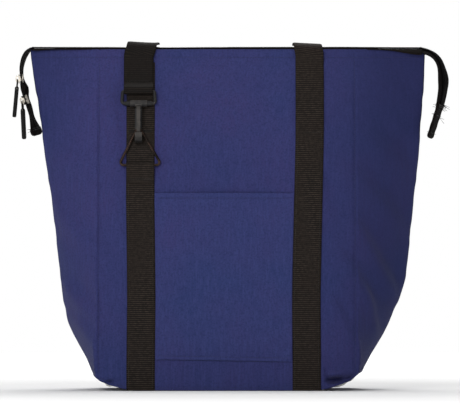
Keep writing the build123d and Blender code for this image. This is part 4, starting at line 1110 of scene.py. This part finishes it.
# ------------------------------------------------------------------- sewing threads
th = Bag()
n_ = 420
for zz, x0, x1 in ((453.0, -262.0, -139.5), (453.0, -98.5, 93.0), (453.0, 135.5, 262.5)):
    # nothing is laid here: the hem's stitch line, which follows the cloth with the gussets included, comes from
    # seam_threads
    pass


def on_grid(P, N, zs_line, cols):
    """Points of a grid's surface at a height for each column."""
    out, nor = [], []
    for j, zv in zip(cols, zs_line):
        zcol = P[:, j, 2]
        i = int(np.clip(np.searchsorted(zcol, zv) - 1, 0, len(zcol) - 2))
        f = (zv - zcol[i]) / max(zcol[i + 1] - zcol[i], 1e-6)
        out.append(P[i, j] * (1 - f) + P[i + 1, j] * f)
        nor.append(N[i, j] * (1 - f) + N[i + 1, j] * f)
    return np.array(out), unit(np.array(nor))


def column_line(P, N, x, z0, z1):
    """Points up a grid at one x on a panel."""
    xs = P[P.shape[0] // 2, NG:NG + NP + 1, 0]
    j = NG + int(np.argmin(np.abs(xs - x)))
    rows = [i for i in range(P.shape[0]) if z0 <= P[i, j, 2] <= z1]
    p = P[rows, j].copy()
    # slide sideways on to the wanted x
    k = j + (1 if x > xs[j - NG] else -1)
    if xs[min(max(k - NG, 0), NP)] != xs[j - NG]:
        f = (x - xs[j - NG]) / (xs[min(max(k - NG, 0), NP)] - xs[j - NG])
        p = P[rows, j] * (1 - f) + P[rows, k] * f
    return p, N[rows, j]


def seam_threads(P, N, side):
    out = []
    ncol = P.shape[1]
    cols = list(range(2, ncol - 2))
    xs = P[-6, :, 0]
    groups = []
    cur = []
    for j in cols:
        under = (abs(xs[j] - STRAP_L) < 20 or abs(xs[j] - 114.0) < 20) and side < 0
        if under:
            if len(cur) > 3: groups.append(cur)
            cur = []
        else: cur.append(j)
    if len(cur) > 3: groups.append(cur)
    for g in groups:
        out.append(on_grid(P, N, [453.0] * len(g), g))
    for x in (-HALF + 4.2, HALF - 4.2):
        out.append(column_line(P, N, x, 22, 450))
    g = [j for j in range(NG + 4, NG + NP - 3)]
    out.append(on_grid(P, N, [base_z(P[0, j, 0]) + 4.0 for j in g], g))
    return out


front_threads = Bag()
for p, nrm in seam_threads(front_P, front_N, -1):
    stitch_run(front_threads, p, nrm, 3.0, 2.3, 0.26)
# pocket: one row on the hem, one at the foot
for zz in (260.6,):
    i = int(np.argmin(np.abs(pz - zz)))
    stitch_run(front_threads, pocket_face[i, 2:-2], PN[i, 2:-2], 3.0, 2.3, 0.27)
i = int(np.argmin(np.abs(pz - 47.8)))
stitch_run(front_threads, pocket_face[i, 2:-2], PN[i, 2:-2], 3.0, 2.3, 0.27)
ob = front_threads.build("front_stitching", M["thread_navy"]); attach(ob, "bag")

lb, rb = Bag(), Bag()
for p, nrm in seam_threads(back_P, back_N, 1):
    cutx = p[:, 0] < 0
    for m_, bg in ((cutx, lb), (~cutx, rb)):
        if m_.sum() > 3:
            stitch_run(bg, p[m_], nrm[m_], 3.0, 2.3, 0.26)
for bg, sgn, word in ((lb, -1, "left"), (rb, 1, "right")):
    ob = bg.build("back_stitching_" + word, M["thread_navy"]); blend_back(ob)


def strap_threads(bag, xc, side, z_top, box=True):
    xf = xc if callable(xc) else (lambda z: z * 0 + xc)
    z = np.arange(3, z_top - 3, 2.0)
    for e in (-16.2, 16.2):
        x = xf(z) + e
        base = STRAP_L if np.mean(x) < 0 else STRAP_R
        p = np.stack([x, front_y(z * 0 + base, z, 1.78, side), z], 1)
        ny, nzz = wall_normal(z, side)
        stitch_run(bag, p, np.stack([z * 0, ny + z * 0, nzz], 1), 3.4, 2.5, 0.26)
    if box:
        for dz in (0.0, 1.1, 2.2, 3.3):
            x = np.linspace(-16.5, 16.5, 20)
            zz = np.full(20, z_top - 1.6 + dz)
            p = np.stack([xf(zz) + x, front_y(zz * 0 + (STRAP_L if xf(zz)[0] < 0 else STRAP_R), zz, 1.82, side), zz], 1)
            ny, nzz = wall_normal(zz, side)
            stitch_run(bag, p, np.stack([zz * 0, ny + zz * 0, nzz], 1), 1.5, 1.9, 0.34)


bt = Bag()
strap_threads(bt, left_x, -1, 352.0)
strap_threads(bt, strap_x, -1, 352.0)
# hook end: two rows across, where the fold is sewn back on itself; ring tab: the same
for z0, xc, o in ((418.6, HOOK_X, 5.75), (420.4, HOOK_X, 5.4), (288.0, STRAP_L, 5.05), (286.0, STRAP_L, 5.0)):
    x = np.linspace(-16.5, 16.5, 24)
    zz = np.full(24, z0)
    p = np.stack([xc + x, front_y(zz * 0 + STRAP_L, zz, o), zz], 1)
    ny, nzz = wall_normal(zz)
    stitch_run(bt, p, np.stack([zz * 0, ny + zz * 0, nzz], 1), 2.4, 2.0, 0.3)
ob = bt.build("webbing_stitching_front", M["thread_black"]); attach(ob, "bag")
for word, xc, sgn in (("left", STRAP_L, -1), ("right", STRAP_R, 1)):
    bt = Bag()
    strap_threads(bt, xc, 1, 340.0)
    ob = bt.build("webbing_stitching_back_" + word, M["thread_black"]); blend_back(ob)

# ------------------------------------------------------------- hard parts from CAD
def soften(node, width, segs=3, angle=28):
    ob = frame["nodes"][node]
    b = ob.modifiers.new("edge", "BEVEL")
    b.width = width * MM; b.segments = segs; b.limit_method = "ANGLE"; b.angle_limit = math.radians(angle)
    b.harden_normals = False
    return ob


def paint(node, mat):
    ob = frame["nodes"][node]
    ob.data.materials.clear()
    ob.data.materials.append(mat)


for node, mat, wd in (("snap_hook", "clip", 0.7), ("hook_frame", "clip", 0.4), ("hook_gate", "clip", 0.5), ("triangle_ring", "ring", 0), ("zipper_slider_upper", "slider", 0.3),
                      ("zipper_slider_lower", "slider", 0.3), ("pull_wire_upper", "slider", 0), ("pull_wire_lower", "slider", 0), ("pull_tab_upper", "pull", 0), ("pull_tab_lower", "pull", 0),
                      ):
    paint(node, M[mat])
    if wd: soften(node, wd)
for node, grow in (("triangle_ring", 0.05), ("hook_frame", 0.2), ("pull_wire_upper", 0.3), ("pull_wire_lower", 0.3)):
    d = frame["nodes"][node].modifiers.new("plating", "DISPLACE")
    d.strength = grow * MM; d.mid_level = 0.0

# ------------------------------------------------------------------ stage and light
def stage_floor():
    """A round pale floor that fades into the white surround, so that the bag can be seen from every side."""
    V, F = [(0.0, 0.0, 0.0)], []
    radii = [0.3, 0.6, 1.0, 1.5, 2.0, 2.6]
    n = 72
    for r in radii:
        V += [(r * math.cos(a), r * math.sin(a), 0.0) for a in np.linspace(0, 2 * PI, n, endpoint=False)]
    for i in range(n):
        F.append((0, 1 + i, 1 + (i + 1) % n))
    for k in range(len(radii) - 1):
        o = 1 + k * n
        for i in range(n):
            F.append((o + i, o + n + i, o + n + (i + 1) % n, o + (i + 1) % n))
    me = bpy.data.meshes.new("stage_floor"); me.from_pydata(V, [], F)
    ob = bpy.data.objects.new("stage_floor", me); bpy.context.scene.collection.objects.link(ob)
    m = Mat("stage_white", rough=0.95, spec=0.05)
    geo = m.node("ShaderNodeVectorMath", operation="LENGTH")
    m.link(m.uv.outputs["Object"], geo.inputs[0])
    fade = m.rng(geo.outputs["Value"], 0.0, 1.0, 0.42, 1.05)
    m.p.inputs["Emission Color"].default_value = (1, 1, 1, 1)
    m.link(fade, m.p.inputs["Emission Strength"])
    n2 = m.node("ShaderNodeMix", data_type="RGBA"); m.link(fade, n2.inputs[0])
    n2.inputs[6].default_value = (0.93, 0.93, 0.93, 1); n2.inputs[7].default_value = (0.2, 0.2, 0.2, 1)
    m.link(n2.outputs[2], m.p.inputs["Base Color"])
    me.materials.append(m.m)


stage_floor()
world = bpy.data.worlds.new("studio"); bpy.context.scene.world = world
world.use_nodes = True
wt = world.node_tree
bgn = wt.nodes["Background"]
tc = wt.nodes.new("ShaderNodeTexCoord")
sp = wt.nodes.new("ShaderNodeSeparateXYZ"); wt.links.new(tc.outputs["Generated"], sp.inputs[0])
mr = wt.nodes.new("ShaderNodeMapRange"); wt.links.new(sp.outputs["Z"], mr.inputs["Value"])
mr.inputs["From Min"].default_value = 0.05; mr.inputs["From Max"].default_value = 0.16
mr.inputs["To Min"].default_value = 1.0; mr.inputs["To Max"].default_value = 0.22
wt.links.new(mr.outputs["Result"], bgn.inputs[1])
bgn.inputs[0].default_value = (1, 1, 1, 1)


def area(name, loc, target, size, power, size_y=None):
    L = bpy.data.lights.new(name, "AREA"); L.energy = power; L.shape = "RECTANGLE"; L.size = size; L.size_y = size_y or size
    ob = bpy.data.objects.new(name, L); bpy.context.scene.collection.objects.link(ob)
    ob.location = loc
    ob.rotation_euler = (Vector(target) - Vector(loc)).to_track_quat("-Z", "Y").to_euler()
    return ob


area("key", (-0.95, -2.7, 1.35), (0, 0, 0.25), 0.9, 32)
area("fill", (-1.8, -1.2, 0.8), (0, 0, 0.25), 1.2, 1.6)
area("top", (-0.4, -0.2, 2.4), (0, 0, 0.2), 1.8, 9)
area("floor_wash", (0.3, 0.9, 2.6), (0, 0.5, 0.0), 1.8, 44)

cam = bpy.data.cameras.new("camera"); cam.lens = 600; cam.sensor_width = 36; cam.sensor_fit = "HORIZONTAL"
cob = bpy.data.objects.new("camera", cam); bpy.context.scene.collection.objects.link(cob)
PX_MM = 1.36
dist = 600 / 36 * 460 * PX_MM * MM
cx, cz = (230 - 227) * PX_MM * MM, (390 - 207) * PX_MM * MM
cob.location = (cx, -dist - 0.035, cz)
cob.rotation_euler = (math.radians(90), 0, 0)
cam.clip_end = 50
bpy.context.scene.camera = cob
bpy.context.scene.view_settings.view_transform = "Standard"
